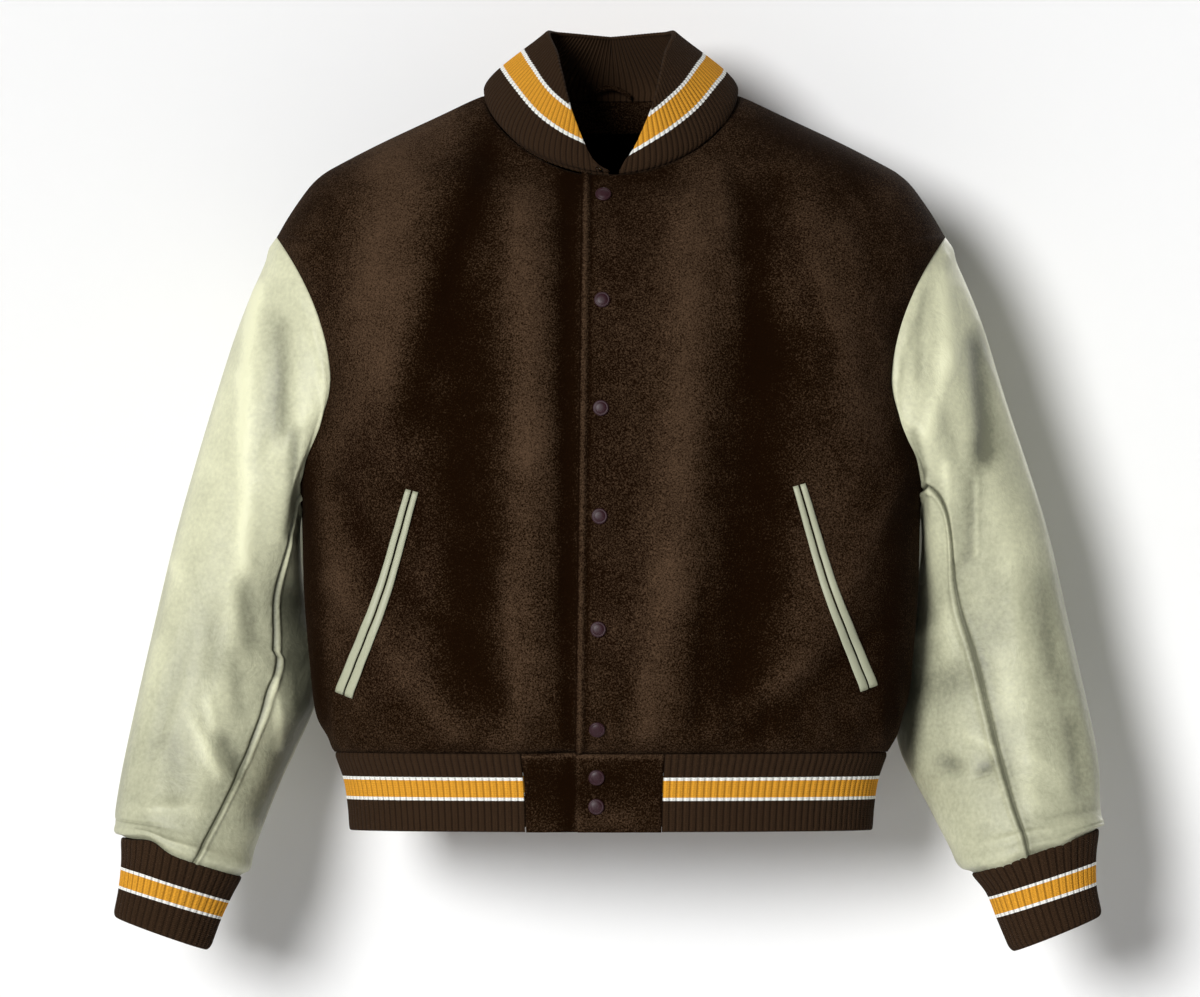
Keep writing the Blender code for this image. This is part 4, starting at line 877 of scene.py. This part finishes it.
low, high, line = (given[k] for k in ("Stripe Low", "Stripe High", "Line"))
outer_band = knit.maths("SUBTRACT", over(height, low), over(height, high))
inner_low, inner_high = knit.plus(low, line), knit.maths("SUBTRACT", high, line)
inner_band = knit.maths("SUBTRACT", over(height, inner_low), over(height, inner_high))
striped = knit.blend(outer_band, given["Ground"], given["White"])
striped = knit.blend(inner_band, striped, given["Gold"])
FULL_TURN = 6.28318
COURSE = 0.0016
wale = knit.times(around, knit.maths("DIVIDE", FULL_TURN, given["Pitch"]))
# painted shade in the grooves between the ribs: the colour darkens there
groove = knit.times(knit.plus(knit.maths("COSINE", wale), 1.0), 0.5)
groove = knit.maths("POWER", groove, 5.0)
course = knit.maths("SINE", knit.times(height, FULL_TURN / COURSE))
lean = knit.maths("SINE", knit.plus(knit.times(height, 3900.0), knit.times(wale, 2.0)))
fuzz = knit.noise(1100.0, 2.0)
shade = knit.maths("SUBTRACT", 1.0, knit.times(groove, 0.42))
shade = knit.times(shade, knit.plus(0.70, knit.times(fuzz, 0.60)))
shade = knit.times(shade, knit.plus(0.94, knit.times(course, 0.06)))
dark = knit.node("Mix", {0: 1.0, 6: striped, 7: shade}, data_type="RGBA", blend_type="MULTIPLY")
loops = knit.plus(fuzz, knit.times(knit.plus(course, lean), 0.35))
give(
    KNIT,
    Base_Color=dark.outputs[2],
    Roughness=knit.plus(0.85, knit.times(fuzz, 0.1)),
    Bump_Height=knit.times(loops, given["Depth"]),
)
YARN = {"Sheen Weight": 0.01, "Sheen Roughness": 0.5, "Specular IOR Level": 0.03}


def rib_edges(turns, line, pitch):
    """Turns at the edges of ribs that are evenly spaced along a line of points."""
    run = np.append(0, np.linalg.norm(np.diff(line, axis=0), axis=1).cumsum())
    count = round(run[-1] / pitch)
    return np.interp(np.linspace(0, run[-1], count + 1), run, turns)


def rib_steps(edges):
    """Places across the ribs between those edges, and how far the knit stands up at each."""
    shape = np.array(RIB_SHAPE)
    steps = (edges[:-1, None] + np.diff(edges)[:, None] * shape[:, 0]).ravel()
    return steps, np.tile(shape[:, 1], len(edges) - 1) * RIB_HEIGHT


def band_metres(steps, edges, pitch, heights):
    """Metres round a ribbed band, at those steps, and up it."""
    return pairs(np.interp(steps, edges, np.arange(len(edges)))[None, :] * pitch, heights)


def band_shares(first, count):
    """Places down a rib band, closer together at its seam and at its open end."""
    end = (0.93, 0.95, 0.965, 0.978, 0.987, 0.994, 0.998, 1.0)
    return np.concatenate(([0, 0.012, 0.03], np.linspace(first, 0.90, count), end))


def rolled(share):
    """How far round a quarter circle's end has turned in, from 0 to 1."""
    return 1 - np.sqrt(1 - np.clip(share, 0, 1) ** 2)


def cuff_place(table, share, turn):
    row = [read(table, c, share) for c in range(1, 7)]
    across, forward = np.cos(2 * np.pi * turn), np.sin(2 * np.pi * turn)
    x, z = between(row[0:2], row[2:4], across)
    return points(x, row[5] - forward * row[4], z)


# share of the way down the cuff, outer x, outer z, inner x, inner z, half depth, middle y
LEFT_CUFF = (
    (0.00, 0.4392, -0.6600, 0.3235, -0.7010, 0.0455, -0.019),
    (0.30, 0.4355, -0.6850, 0.3375, -0.7175, 0.0400, -0.022),
    (0.65, 0.4357, -0.7110, 0.3468, -0.7400, 0.0370, -0.025),
    (1.00, 0.4415, -0.7380, 0.3590, -0.7710, 0.0365, -0.028),
)
RIGHT_CUFF = (
    (0.00, 0.4410, -0.6680, 0.3312, -0.7035, 0.0455, -0.019),
    (0.30, 0.4398, -0.6900, 0.3415, -0.7210, 0.0400, -0.022),
    (0.65, 0.4420, -0.7137, 0.3510, -0.7415, 0.0370, -0.025),
    (1.00, 0.4475, -0.7390, 0.3605, -0.7695, 0.0365, -0.028),
)
CUFF_GIRTH = 0.270
CUFF_LENGTH = 0.076
CUFF_RIB = finish_of("cuff rib", KNIT, {"Stripe Low": 0.0272, "Stripe High": 0.0490, "Line": 0.0028}, YARN)
for label, side, table, feet in (("left", 1, LEFT_CUFF, LEFT_FOOT), ("right", -1, RIGHT_CUFF, RIGHT_FOOT)):
    edges = np.linspace(0, 1, round(CUFF_GIRTH / RIB_PITCH) + 1)
    steps, rise = rib_steps(edges)
    shares = band_shares(0.06, 22)
    grid = cuff_place(table, shares[:, None], steps[None, :])
    cut = cut_of(grid, closed=True)
    shift = np.maximum(foot_shift(feet, np.cos(2 * np.pi * steps)), 0)
    shift = shift * (1 - ease(shares / 0.42))[:, None]
    grid = grid + shift[..., None] * UP_ARM
    normal = normals_of(grid, 1, closed=True)
    # the knit swells a little between its ends, and its open end rolls in
    swell = 0.0008 * np.sin(np.pi * shares) - 0.0012 * np.exp(-shares / 0.02)
    swell = swell - 0.0042 * rolled((shares - 0.91) / 0.09)
    grid = grid + normal * (rise[None, :] - RIB_HEIGHT + swell[:, None])[..., None]
    grid = mirror(grid, side)
    uv = band_metres(steps, edges, RIB_PITCH, shares[:, None] * CUFF_LENGTH)
    made = shell(f"cuff_{label}_rib", grid, normals_of(grid, side, closed=True), RIB, True, uv, (CUFF_RIB,))
    hang(made, "rib_knit", cut, [f"cuff_{label}"], held="stretched")

# height, half width, front depth, back depth
HEM_SECTIONS = (
    (-0.5914, 0.2465, 0.1276, 0.1196),
    (-0.6165, 0.2380, 0.1205, 0.1130),
    (-0.6400, 0.2345, 0.1180, 0.1105),
    (-0.6615, 0.2330, 0.1165, 0.1090),
)
HEM_TOP, HEM_FOOT = HEM_SECTIONS[0][0], HEM_SECTIONS[-1][0]
HEM_MIDDLE = -0.63
SEAM_GAP = 0.0004
LEFT_TAB = (-0.0306, 0.0459)
RIGHT_TAB = (-0.0775, 0.0300)
TAB_WALL = 0.0030


def hem_place(z, turn):
    """Points on the hem. Turn is 0 at the front middle, 1 left, 2 back, 3 right."""
    z, turn = np.broadcast_arrays(z, np.asarray(turn) % 4)
    rows = [(-row[0], *row[1:]) for row in HEM_SECTIONS]
    front = (turn <= 1) | (turn >= 3)
    side = np.where(turn <= 2, 1, -1)
    across = np.minimum(np.abs(turn - np.where(turn <= 1, 0, np.where(turn >= 3, 4, 2))), 1)
    width, depth = read(rows, 1, -z), np.where(front, read(rows, 2, -z), read(rows, 3, -z))
    sign = np.where(front, -1, 1)
    centre, edge = points(0, sign * depth, z), points(width, UNDERARM[1], z)
    reach = 0.64 * np.abs(edge[..., 1] - centre[..., 1])
    leave = points(0.60 * width, 0, 0)
    arrive = points(sign * 0.25 * reach, -sign * reach, 0)
    found = bezier(centre, centre + leave, edge - arrive, edge, across[..., None])
    found[..., 0] *= side
    return found


def turn_at(x):
    """The turn on the front of the hem at that x."""
    fine = np.linspace(0, 1, 400)
    turn = np.interp(np.abs(x), hem_place(HEM_SECTIONS[1][0], fine)[:, 0], fine)
    return np.where(np.asarray(x) >= 0, turn, 4 - turn)


fine = np.linspace(turn_at(LEFT_TAB[1] + SEAM_GAP), turn_at(RIGHT_TAB[0] - SEAM_GAP), 2000)
edges = rib_edges(fine, hem_place(HEM_MIDDLE, fine), RIB_PITCH)
steps, rise = rib_steps(edges)
height = HEM_TOP - HEM_FOOT
shares = band_shares(0.07, 14)
grid = hem_place(HEM_FOOT + shares[:, None] * height, steps[None, :])
cut = cut_of(grid)
normal = normals_of(grid, 1)
roll = -0.0010 * np.exp(-shares / 0.02) - 0.0030 * rolled((shares - 0.92) / 0.08)
grid = grid + normal * (rise[None, :] - RIB_HEIGHT + roll[:, None])[..., None]
uv = band_metres(steps, edges, RIB_PITCH, shares[:, None] * height)
HEM_RIB = finish_of("hem rib", KNIT, {"Stripe Low": 0.0283, "Stripe High": 0.0491, "Line": 0.0028}, YARN)
hem_rib = shell("hem_band", grid, normals_of(grid, 1), RIB, uv=uv, slots=(HEM_RIB,))
hang(hem_rib, "rib_knit", cut, ["hem_rib"], held="stretched")

# painted light and painted shade on the hem tabs, as on the front; the dark line by the left tab's edge is
# its painted shadow
TAB_PAINTED_LIGHT = (
    (-0.035, -0.650, 0.020, -0.650, 0.012, 0.50),
    (-0.030, -0.598, -0.030, -0.660, 0.003, 0.60),
    (-0.080, -0.622, 0.046, -0.618, 0.034, -0.50),
    (-0.080, -0.622, -0.036, -0.618, 0.034, -0.40),
    (-0.038, -0.595, -0.038, -0.660, 0.008, -1.10),
)
for label, (start, end), behind in (("left", LEFT_TAB, 0), ("right", RIGHT_TAB, 1)):
    x = np.linspace(start, end, 40)
    shares = np.linspace(0, 1, 34)
    grid = hem_place(HEM_FOOT + shares[:, None] * height, turn_at(x)[None, :])
    cut = cut_of(grid)
    normal = normals_of(grid, 1)
    sink = (TAB_WALL + 0.0006) * behind * (1 - ease((LEFT_TAB[0] - 0.004 - x) / 0.030))
    rise = 0.0007 * np.sin(np.pi * shares)[:, None] - sink[None, :]
    grid = grid + normal * rise[..., None]
    made = shell(f"hem_tab_{label}_wool", grid, normals_of(grid, 1), TAB_WALL, slots=(WOOL_FACE,))
    # painted highlight along the top edge of each tab
    tone = np.exp(-((shares[:, None] - 0.97) / 0.03) ** 2) + 0 * x
    paint_light_and_greying(made, tone + fold_height(TAB_PAINTED_LIGHT, grid[..., 0], grid[..., 2]))
    hang(made, "wool_cloth", cut, [f"hem_tab_{label}"])
    if label == "left":
        TAB, TAB_NORMAL = grid, normals_of(grid, 1)

# ---------------------------------------------------------------- the collar
# The collar is a crescent of the striped rib, folded double and sewn to the neck edge. It stands
# up at the back and rolls down to nothing where the two fronts meet. Its ribs run up from the
# seam, and its stripe goes round above it.
COLLAR_WALL = 0.0046
# round the neck (0 front middle, 1 neck point, 2 back middle): top edge x, y, z
COLLAR_TOP = (
    (0.00, 0.0070, -0.0800, -0.0665),
    (0.10, 0.0207, -0.0775, -0.0490),
    (0.19, 0.0335, -0.0715, -0.0220),
    (0.27, 0.0405, -0.0655, -0.0050),
    (0.40, 0.0460, -0.0530, 0.0162),
    (0.60, 0.0510, -0.0330, 0.0370),
    (1.00, 0.0585, 0.0080, 0.0565),
    (1.40, 0.0480, 0.0430, 0.0572),
    (2.00, 0.0000, 0.0620, 0.0530),
)
COLLAR_FULL_HEIGHT = 0.060
COLLAR_RIB_PITCH = 0.0056
# how far from the middle plane the collar starts on the wearer's left and ends on the right
COLLAR_ENDS = (0.0072, 0.0018)
# round the neck (as above, on to 4), how far above the seam the stripe's lower edge lies
STRIPE_RISE = (
    (0.00, 0.0190),
    (0.11, 0.0240),
    (0.18, 0.0285),
    (0.26, 0.0322),
    (0.41, 0.0358),
    (0.65, 0.0375),
    (0.80, 0.0358),
    (0.96, 0.0305),
    (1.15, 0.0265),
    (2.00, 0.0250),
    (2.76, 0.0285),
    (3.00, 0.0350),
    (3.13, 0.0394),
    (3.30, 0.0424),
    (3.45, 0.0418),
    (3.60, 0.0384),
    (3.76, 0.0338),
    (3.90, 0.0290),
    (4.00, 0.0240),
)


# the last row of each panel, which is its neck edge
NECK_ROW = np.array([3.0])


def neck_line(turn):
    """Points of the neck seam. Turn is 0 at the front middle, 1 left, 2 back, 3 right."""
    side = np.where(turn <= 2, 1, -1)
    half = np.where(turn <= 2, turn, 4 - turn)
    across = np.where(half <= 1, half, 2 - half)
    front = half_body(True, across[None], NECK_ROW)[0]
    rear = half_body(False, across[None], NECK_ROW)[0]
    found = np.where((half <= 1)[:, None], front, rear)
    found[:, 0] *= side
    return found, side, half


start, end = (float(across_of(True, NECK_ROW, [x])[0]) for x in COLLAR_ENDS)
fine = np.linspace(start, 4 - end, 1600)
edges = rib_edges(fine, neck_line(fine)[0], COLLAR_RIB_PITCH)
steps, rib_rise = rib_steps(edges)
steps = np.append(steps, edges[-1])
rib_rise = np.append(rib_rise, 0)
base, side, half = neck_line(steps)
top = np.stack([read(COLLAR_TOP, c, half) for c in (1, 2, 3)], -1)
top[:, 0] *= side
outward = base - np.array([0, NECK_POINT[1], 0])
outward[:, 2] = 0
outward = unit(outward)
up = np.array([0, 0, 1.0])
tall = np.linalg.norm(top - base, axis=1, keepdims=True)
share = np.minimum(tall / COLLAR_FULL_HEIGHT, 1)
first = base + (up * 0.014 + outward * 0.008) * share
second = base + (top - base) * 0.60 + (outward + up) * 0.002
rows = np.concatenate(([0, 0, 0.02, 0.04], np.linspace(0.08, 0.96, 26), [0.985, 1.0]))
grid = bezier(base[None], first[None], second[None], top[None], rows[:, None, None])
cut = cut_of(grid)
# the right end lies behind the left one
under = (1 - ease((PLACKET_X - 0.002 - base[:, 0]) / 0.060)) * (side < 0) * (half < 1)
normal = normals_of(grid, 1)
normal[0] = normal[1] = normal[2]
grid = grid - normal * (LAP * under)[None, :, None]
swell = -0.0016 * np.exp(-rows / 0.03) + 0.0006 * np.sin(np.pi * rows)
outside = grid + normal * ((rib_rise - RIB_HEIGHT)[None, :] + swell[:, None])[..., None]
wall = np.minimum(COLLAR_WALL, 0.0022 + tall[:, 0] / 12)
# over the fold and down the inside
bend = np.linspace(0, np.pi, 9)[1:-1]
half_wall, bend = (wall / 2)[None, :, None], bend[:, None, None]
over_top = outside[-1][None] - normal[-1][None] * half_wall * (1 - np.cos(bend))
climb = unit(outside[-1] - outside[-3])
over_top = over_top + climb[None] * half_wall * np.sin(bend)
inside = (grid - normal * (wall[None, :] - rib_rise[None, :] * 0.8)[..., None])[::-1]
tuck = normal[0] * 0.0030 + up * 0.0045
outside[0] -= tuck
inside[-1] -= up * 0.0035
grid = np.concatenate((outside, over_top, inside))
length = np.linalg.norm(np.diff(outside, axis=0), axis=-1).cumsum(0)
length = np.concatenate((np.zeros((1, len(steps))), length))
length = length + 0.030 - read(STRIPE_RISE, 1, steps)
# the inside of the fold is laid well clear of the stripe, so that it stays plain
PLAIN = 0.15
heights = np.concatenate((length, np.repeat(length[-1:], len(bend), 0), 0 * length + PLAIN))
number = np.arange(grid.shape[0] * grid.shape[1]).reshape(grid.shape[:2])
foot = np.stack((number[-1][:-1], number[-1][1:], number[0][1:], number[0][:-1]), -1)
ends = []
last = len(number) - 1
for column, flip in ((number[:, 0], -1), (number[:, -1], 1)):
    for k in range(last // 2):
        ends.append([column[k], column[k + 1], column[last - k - 1], column[last - k]][::flip])
faces = np.concatenate((quads(number), foot, np.array(ends)))
COLLAR_RIB = finish_of(
    "collar rib",
    KNIT,
    {"Stripe Low": 0.0300, "Stripe High": 0.0575, "Line": 0.0036, "Pitch": COLLAR_RIB_PITCH},
    YARN,
)
collar = piece("collar_rib", grid.reshape(-1, 3).tolist(), faces.tolist(), (COLLAR_RIB,))
lay_metres(collar, band_metres(steps, edges, COLLAR_RIB_PITCH, heights))
hang(collar, "rib_knit", cut, ["collar"], held="folded")

# ---------------------------------------------------------------- inside the neck
# A strip of the wool covers the seam inside the back of the neck, and a narrow loop of it arches
# over the seam to hang the jacket by.
FACING = 0.0012
stretch = np.linspace(2.995, 2.80, 24)
across = np.tile(np.linspace(-0.86, 0.86, 90), (24, 1))
grid = half_body(False, np.abs(across), stretch)
grid[..., 0] *= np.sign(across)
cut = cut_of(grid)
normal = normals_of(grid, 1)
ripple = 0.0007 * np.sin(across * 26 + 2 * np.sin(across * 7))
ripple = ripple * ease((2.97 - stretch) / 0.05)[:, None]
grid = grid - normal * (WOOL + 0.0010 + ripple)[..., None]
facing = shell("neck_facing_wool", grid, normals_of(grid, 1), FACING, slots=(WOOL_FACE,))
hang(facing, "wool_cloth", cut, ["neck_facing"], rests_on=["back_wool"])

share = np.linspace(-1, 1, 48)
arch = 1 - share**2
middle = points(-0.0018 + 0.0200 * share, 0.0740 - 0.004 * arch, -0.001 + 0.0095 * arch)
lean = unit(points(share * 0.35, 0, 1))
grid = middle[None] + lean[None] * 0.0020 * np.linspace(-1, 1, 7)[:, None, None]
cut = cut_of(grid)
bulge = 0.0003 * (1 - np.linspace(-1, 1, 7) ** 2)
grid[..., 1] -= bulge[:, None]
forward = np.broadcast_to(np.array([0, -1.0, 0]), grid.shape)
loop = shell("hanger_loop_wool", grid, forward, FACING, slots=(WOOL_FACE,))
hang(loop, "wool_cloth", cut, ["hanger_loop"], held="hung", rests_on=["back_wool"])

# ---------------------------------------------------------------- the pockets
# Each slanted pocket is jetted: two narrow leather lips are sewn to the wool on either side of the
# slit, and the sewing draws them into a fine ripple. The slit stays closed.
LIP_WALL = 0.0016
LEFT_POCKET = ((0.0, 0.1674, -0.3510), (0.5, 0.1950, -0.4440), (1.0, 0.2300, -0.5330))
RIGHT_POCKET = ((0.0, 0.1773, -0.3560), (0.5, 0.2035, -0.4480), (1.0, 0.2385, -0.5390))


def touch(grid, normal, x, z):
    """(points, normals) of a panel at places in front view."""
    found = []
    for a, b in zip(np.ravel(x), np.ravel(z)):
        near = np.exp(-((grid[..., 0] - a) ** 2 + (grid[..., 2] - b) ** 2) / (2 * 0.0035**2))
        near = near * (normal[..., 1] < 0)
        weight = near / near.sum()
        spot = (grid * weight[..., None]).sum((0, 1))
        facing_out = (normal * weight[..., None]).sum((0, 1))
        facing_out /= np.linalg.norm(facing_out)
        spot[1] -= ((a - spot[0]) * facing_out[0] + (b - spot[2]) * facing_out[2]) / facing_out[1]
        spot[0], spot[2] = a, b
        found.append((spot, facing_out))
    return tuple(np.array([f[k] for f in found]).reshape(*np.shape(x), 3) for k in (0, 1))


LIP = finish_of(
    "pocket lip hide",
    GRAIN,
    {"Colour": (0.31, 0.32, 0.21, 1), "Pale Hide": (0.40, 0.41, 0.29, 1), "Depth": 0.0002},
    {},
)
share = np.linspace(0, 1, 60)
for label, side, line_table, panel, facing_out in (
    ("left", 1, LEFT_POCKET, LEFT_FRONT, LEFT_NORMAL),
    ("right", -1, RIGHT_POCKET, RIGHT_FRONT, RIGHT_NORMAL),
):
    x, z = read(line_table, 1, share), read(line_table, 2, share)
    run_x, run_z = np.gradient(x), np.gradient(z)
    length = np.hypot(run_x, run_z)
    for part, lane in (("back", 1), ("front", -1)):
        lanes = np.linspace(0, 1, 9)
        off = lane * (0.0007 + (0.0052 + 0.0024 * share)[:, None] * lanes)
        at_x = x[:, None] - (run_z / length)[:, None] * off
        at_z = z[:, None] + (run_x / length)[:, None] * off
        spots = touch(panel, facing_out, side * at_x, at_z)
        crown = np.sin(np.pi * (0.10 + 0.80 * lanes)) ** 0.6
        ends = ease(share / 0.03) * ease((1 - share) / 0.03)
        sewn = 0.0002 * np.sin(share * 2 * np.pi * 52)
        height = 0.0010 + 0.0024 * crown[None, :] * (0.55 + 0.45 * ends)[:, None] + sewn[:, None]
        grid = spots[0] + spots[1] * height[..., None]
        turned = normals_of(grid, 1)
        if (turned * spots[1]).sum() < 0:
            turned = -turned
            grid, turned = grid[:, ::-1], turned[:, ::-1]
        made = shell(f"pocket_{label}_lip_{part}", grid, turned, LIP_WALL, slots=(LIP,))
        node, under = f"pocket_{label}_welt_{part}", f"front_{label}_wool"
        hang(made, "sleeve_leather", cut_of(spots[0]), [node], held="stretched", rests_on=[under])

# ---------------------------------------------------------------- the snaps
# Eight enamelled caps are pressed through the cloth, six in the lapping edge and two in its hem
# tab. Each is a low dome with a rolled rim. Their studs and sockets lie behind and are left out.
SNAP_HEIGHTS = (-0.0918, -0.1863, -0.2826, -0.3789, -0.4797, -0.5688, -0.6120, -0.6381)
SNAP_X = -0.0068
SNAP_RADIUS = 0.0071
SNAP_RISE = 0.0026
SNAP_LIFT = 0.0008
SNAP_SIDES = 40
# share of the radius, share of the rise
SNAP_PROFILE = (
    (0.97, 0.0), (1.0, 0.10), (1.0, 0.30), (0.975, 0.46), (0.92, 0.60), (0.85, 0.66), (0.79, 0.60),
    (0.74, 0.62), (0.66, 0.76), (0.50, 0.90), (0.30, 0.98), (0.12, 1.0),
)
ENAMEL, enamel, given = effect(
    "enamel",
    {"Colour": (0.016, 0.002, 0.004, 1), "Depth": 0.00003},
)
mottle = enamel.noise(500.0, 3.0)
give(
    ENAMEL,
    Base_Color=enamel.blend(mottle, given["Colour"], (0.028, 0.004, 0.009, 1)),
    Roughness=enamel.plus(enamel.times(mottle, 0.15), 0.42),
    Bump_Height=enamel.times(mottle, given["Depth"]),
)
CAP = finish_of(
    "snap enamel", ENAMEL, {}, {"Coat Weight": 0.10, "Coat Roughness": 0.4, "Specular IOR Level": 0.3}
)
for k, z in enumerate(SNAP_HEIGHTS):
    x = SNAP_X + (z - NECK_FRONT_Z) * PLACKET_LEAN
    panel, facing_out = (LEFT_FRONT, LEFT_NORMAL) if k < 6 else (TAB, TAB_NORMAL)
    spot, out = (v[0] for v in touch(panel, facing_out, np.array([x]), np.array([z])))
    aside = np.cross(out, up)
    aside /= np.linalg.norm(aside)
    rise = np.cross(aside, out)
    turn = np.linspace(0, 2 * np.pi, SNAP_SIDES, endpoint=False)
    spoke = aside * np.cos(turn)[:, None] + rise * np.sin(turn)[:, None]
    foot = spot + out * SNAP_LIFT
    rings = [foot + spoke * SNAP_RADIUS * r + out * SNAP_RISE * h for r, h in SNAP_PROFILE]
    vertices = np.concatenate(rings + [[foot + out * SNAP_RISE]])
    number = np.arange(len(rings) * SNAP_SIDES).reshape(-1, SNAP_SIDES)
    number = np.concatenate((number, number[:, :1]), 1)
    faces = quads(number).tolist()
    faces += [(a, b, len(vertices) - 1) for a, b in zip(number[-1].tolist(), number[-1, 1:].tolist())]
    faces.append(number[0, :-1][::-1].tolist())
    cap = piece(f"snap_cap_{k + 1}", vertices.tolist(), faces, (CAP,))
    cap.data.set_sharp_from_angle(angle=1.2)
    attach(cap, "root")
    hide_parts(f"snap_{k + 1}")

# ---------------------------------------------------------------- studio, light and camera
# A pale sheet of paper stands just behind the jacket and another lies below it. A firm light comes
# from the front on the left, a weak one reaches the back, and a faint glow comes from all round.
PAPER = bpy.data.materials.new("studio paper")
PAPER.use_nodes = True
paper = Shader(PAPER.node_tree)
plain = PAPER.node_tree.nodes["Principled BSDF"]
plain.inputs["Base Color"].default_value = (0.82, 0.82, 0.82, 1)
plain.inputs["Roughness"].default_value = 0.95
plain.inputs["Specular IOR Level"].default_value = 0.1
# the paper casts no shadow, and from behind it can be looked through
see_through = paper.node("BsdfTransparent")
behind = paper.node("NewGeometry").outputs["Backfacing"]
casting = paper.node("LightPath").outputs["Is Shadow Ray"]
behind = paper.maths("MAXIMUM", behind, casting)
both = paper.node("MixShader")
PAPER.node_tree.links.new(behind, both.inputs[0])
PAPER.node_tree.links.new(plain.outputs[0], both.inputs[1])
PAPER.node_tree.links.new(see_through.outputs[0], both.inputs[2])
PAPER.node_tree.links.new(both.outputs[0], PAPER.node_tree.nodes["Material Output"].inputs[0])
WALL_Y, FLOOR_Z = 0.158, -1.2
for name, corners in (
    ("backdrop", ((-4, WALL_Y, FLOOR_Z), (4, WALL_Y, FLOOR_Z), (4, WALL_Y, 3), (-4, WALL_Y, 3))),
    ("floor", ((-4, -4, FLOOR_Z), (4, -4, FLOOR_Z), (4, 4, FLOOR_Z), (-4, 4, FLOOR_Z))),
):
    piece(name, corners, [(0, 1, 2, 3)], (PAPER,))

JACKET_MIDDLE = mathutils.Vector((0, 0, -0.30))
# name, where it shines from, strength, how wide it looks
for name, where, energy, angle in (
    ("key", (-1.35, -3.0, 0.36), 3.25, 0.34),
    ("back fill", (1.0, 3.0, 1.1), 1.3, 0.5),
):
    data = bpy.data.lights.new(name, "SUN")
    data.energy = energy
    data.angle = angle
    lamp = bpy.data.objects.new(name, data)
    bpy.context.scene.collection.objects.link(lamp)
    lamp.location = where
    lamp.rotation_mode = "QUATERNION"
    lamp.rotation_quaternion = (JACKET_MIDDLE - lamp.location).to_track_quat("-Z", "Y")

world = bpy.data.worlds.new("studio")
world.use_nodes = True
world.node_tree.nodes["Background"].inputs[0].default_value = (1, 1, 1, 1)
world.node_tree.nodes["Background"].inputs[1].default_value = 0.11
bpy.context.scene.world = world
bpy.context.scene.view_settings.view_transform = "Standard"

CAMERA_AWAY = 14.0
FRAME_WIDTH = 1.08
camera = bpy.data.objects.new("camera", bpy.data.cameras.new("camera"))
bpy.context.scene.collection.objects.link(camera)
camera.location = (-0.0099, -CAMERA_AWAY, -0.3632)
camera.rotation_euler = (np.pi / 2, 0, 0)
camera.data.lens = camera.data.sensor_width * CAMERA_AWAY / FRAME_WIDTH
camera.data.clip_end = 60
bpy.context.scene.camera = camera
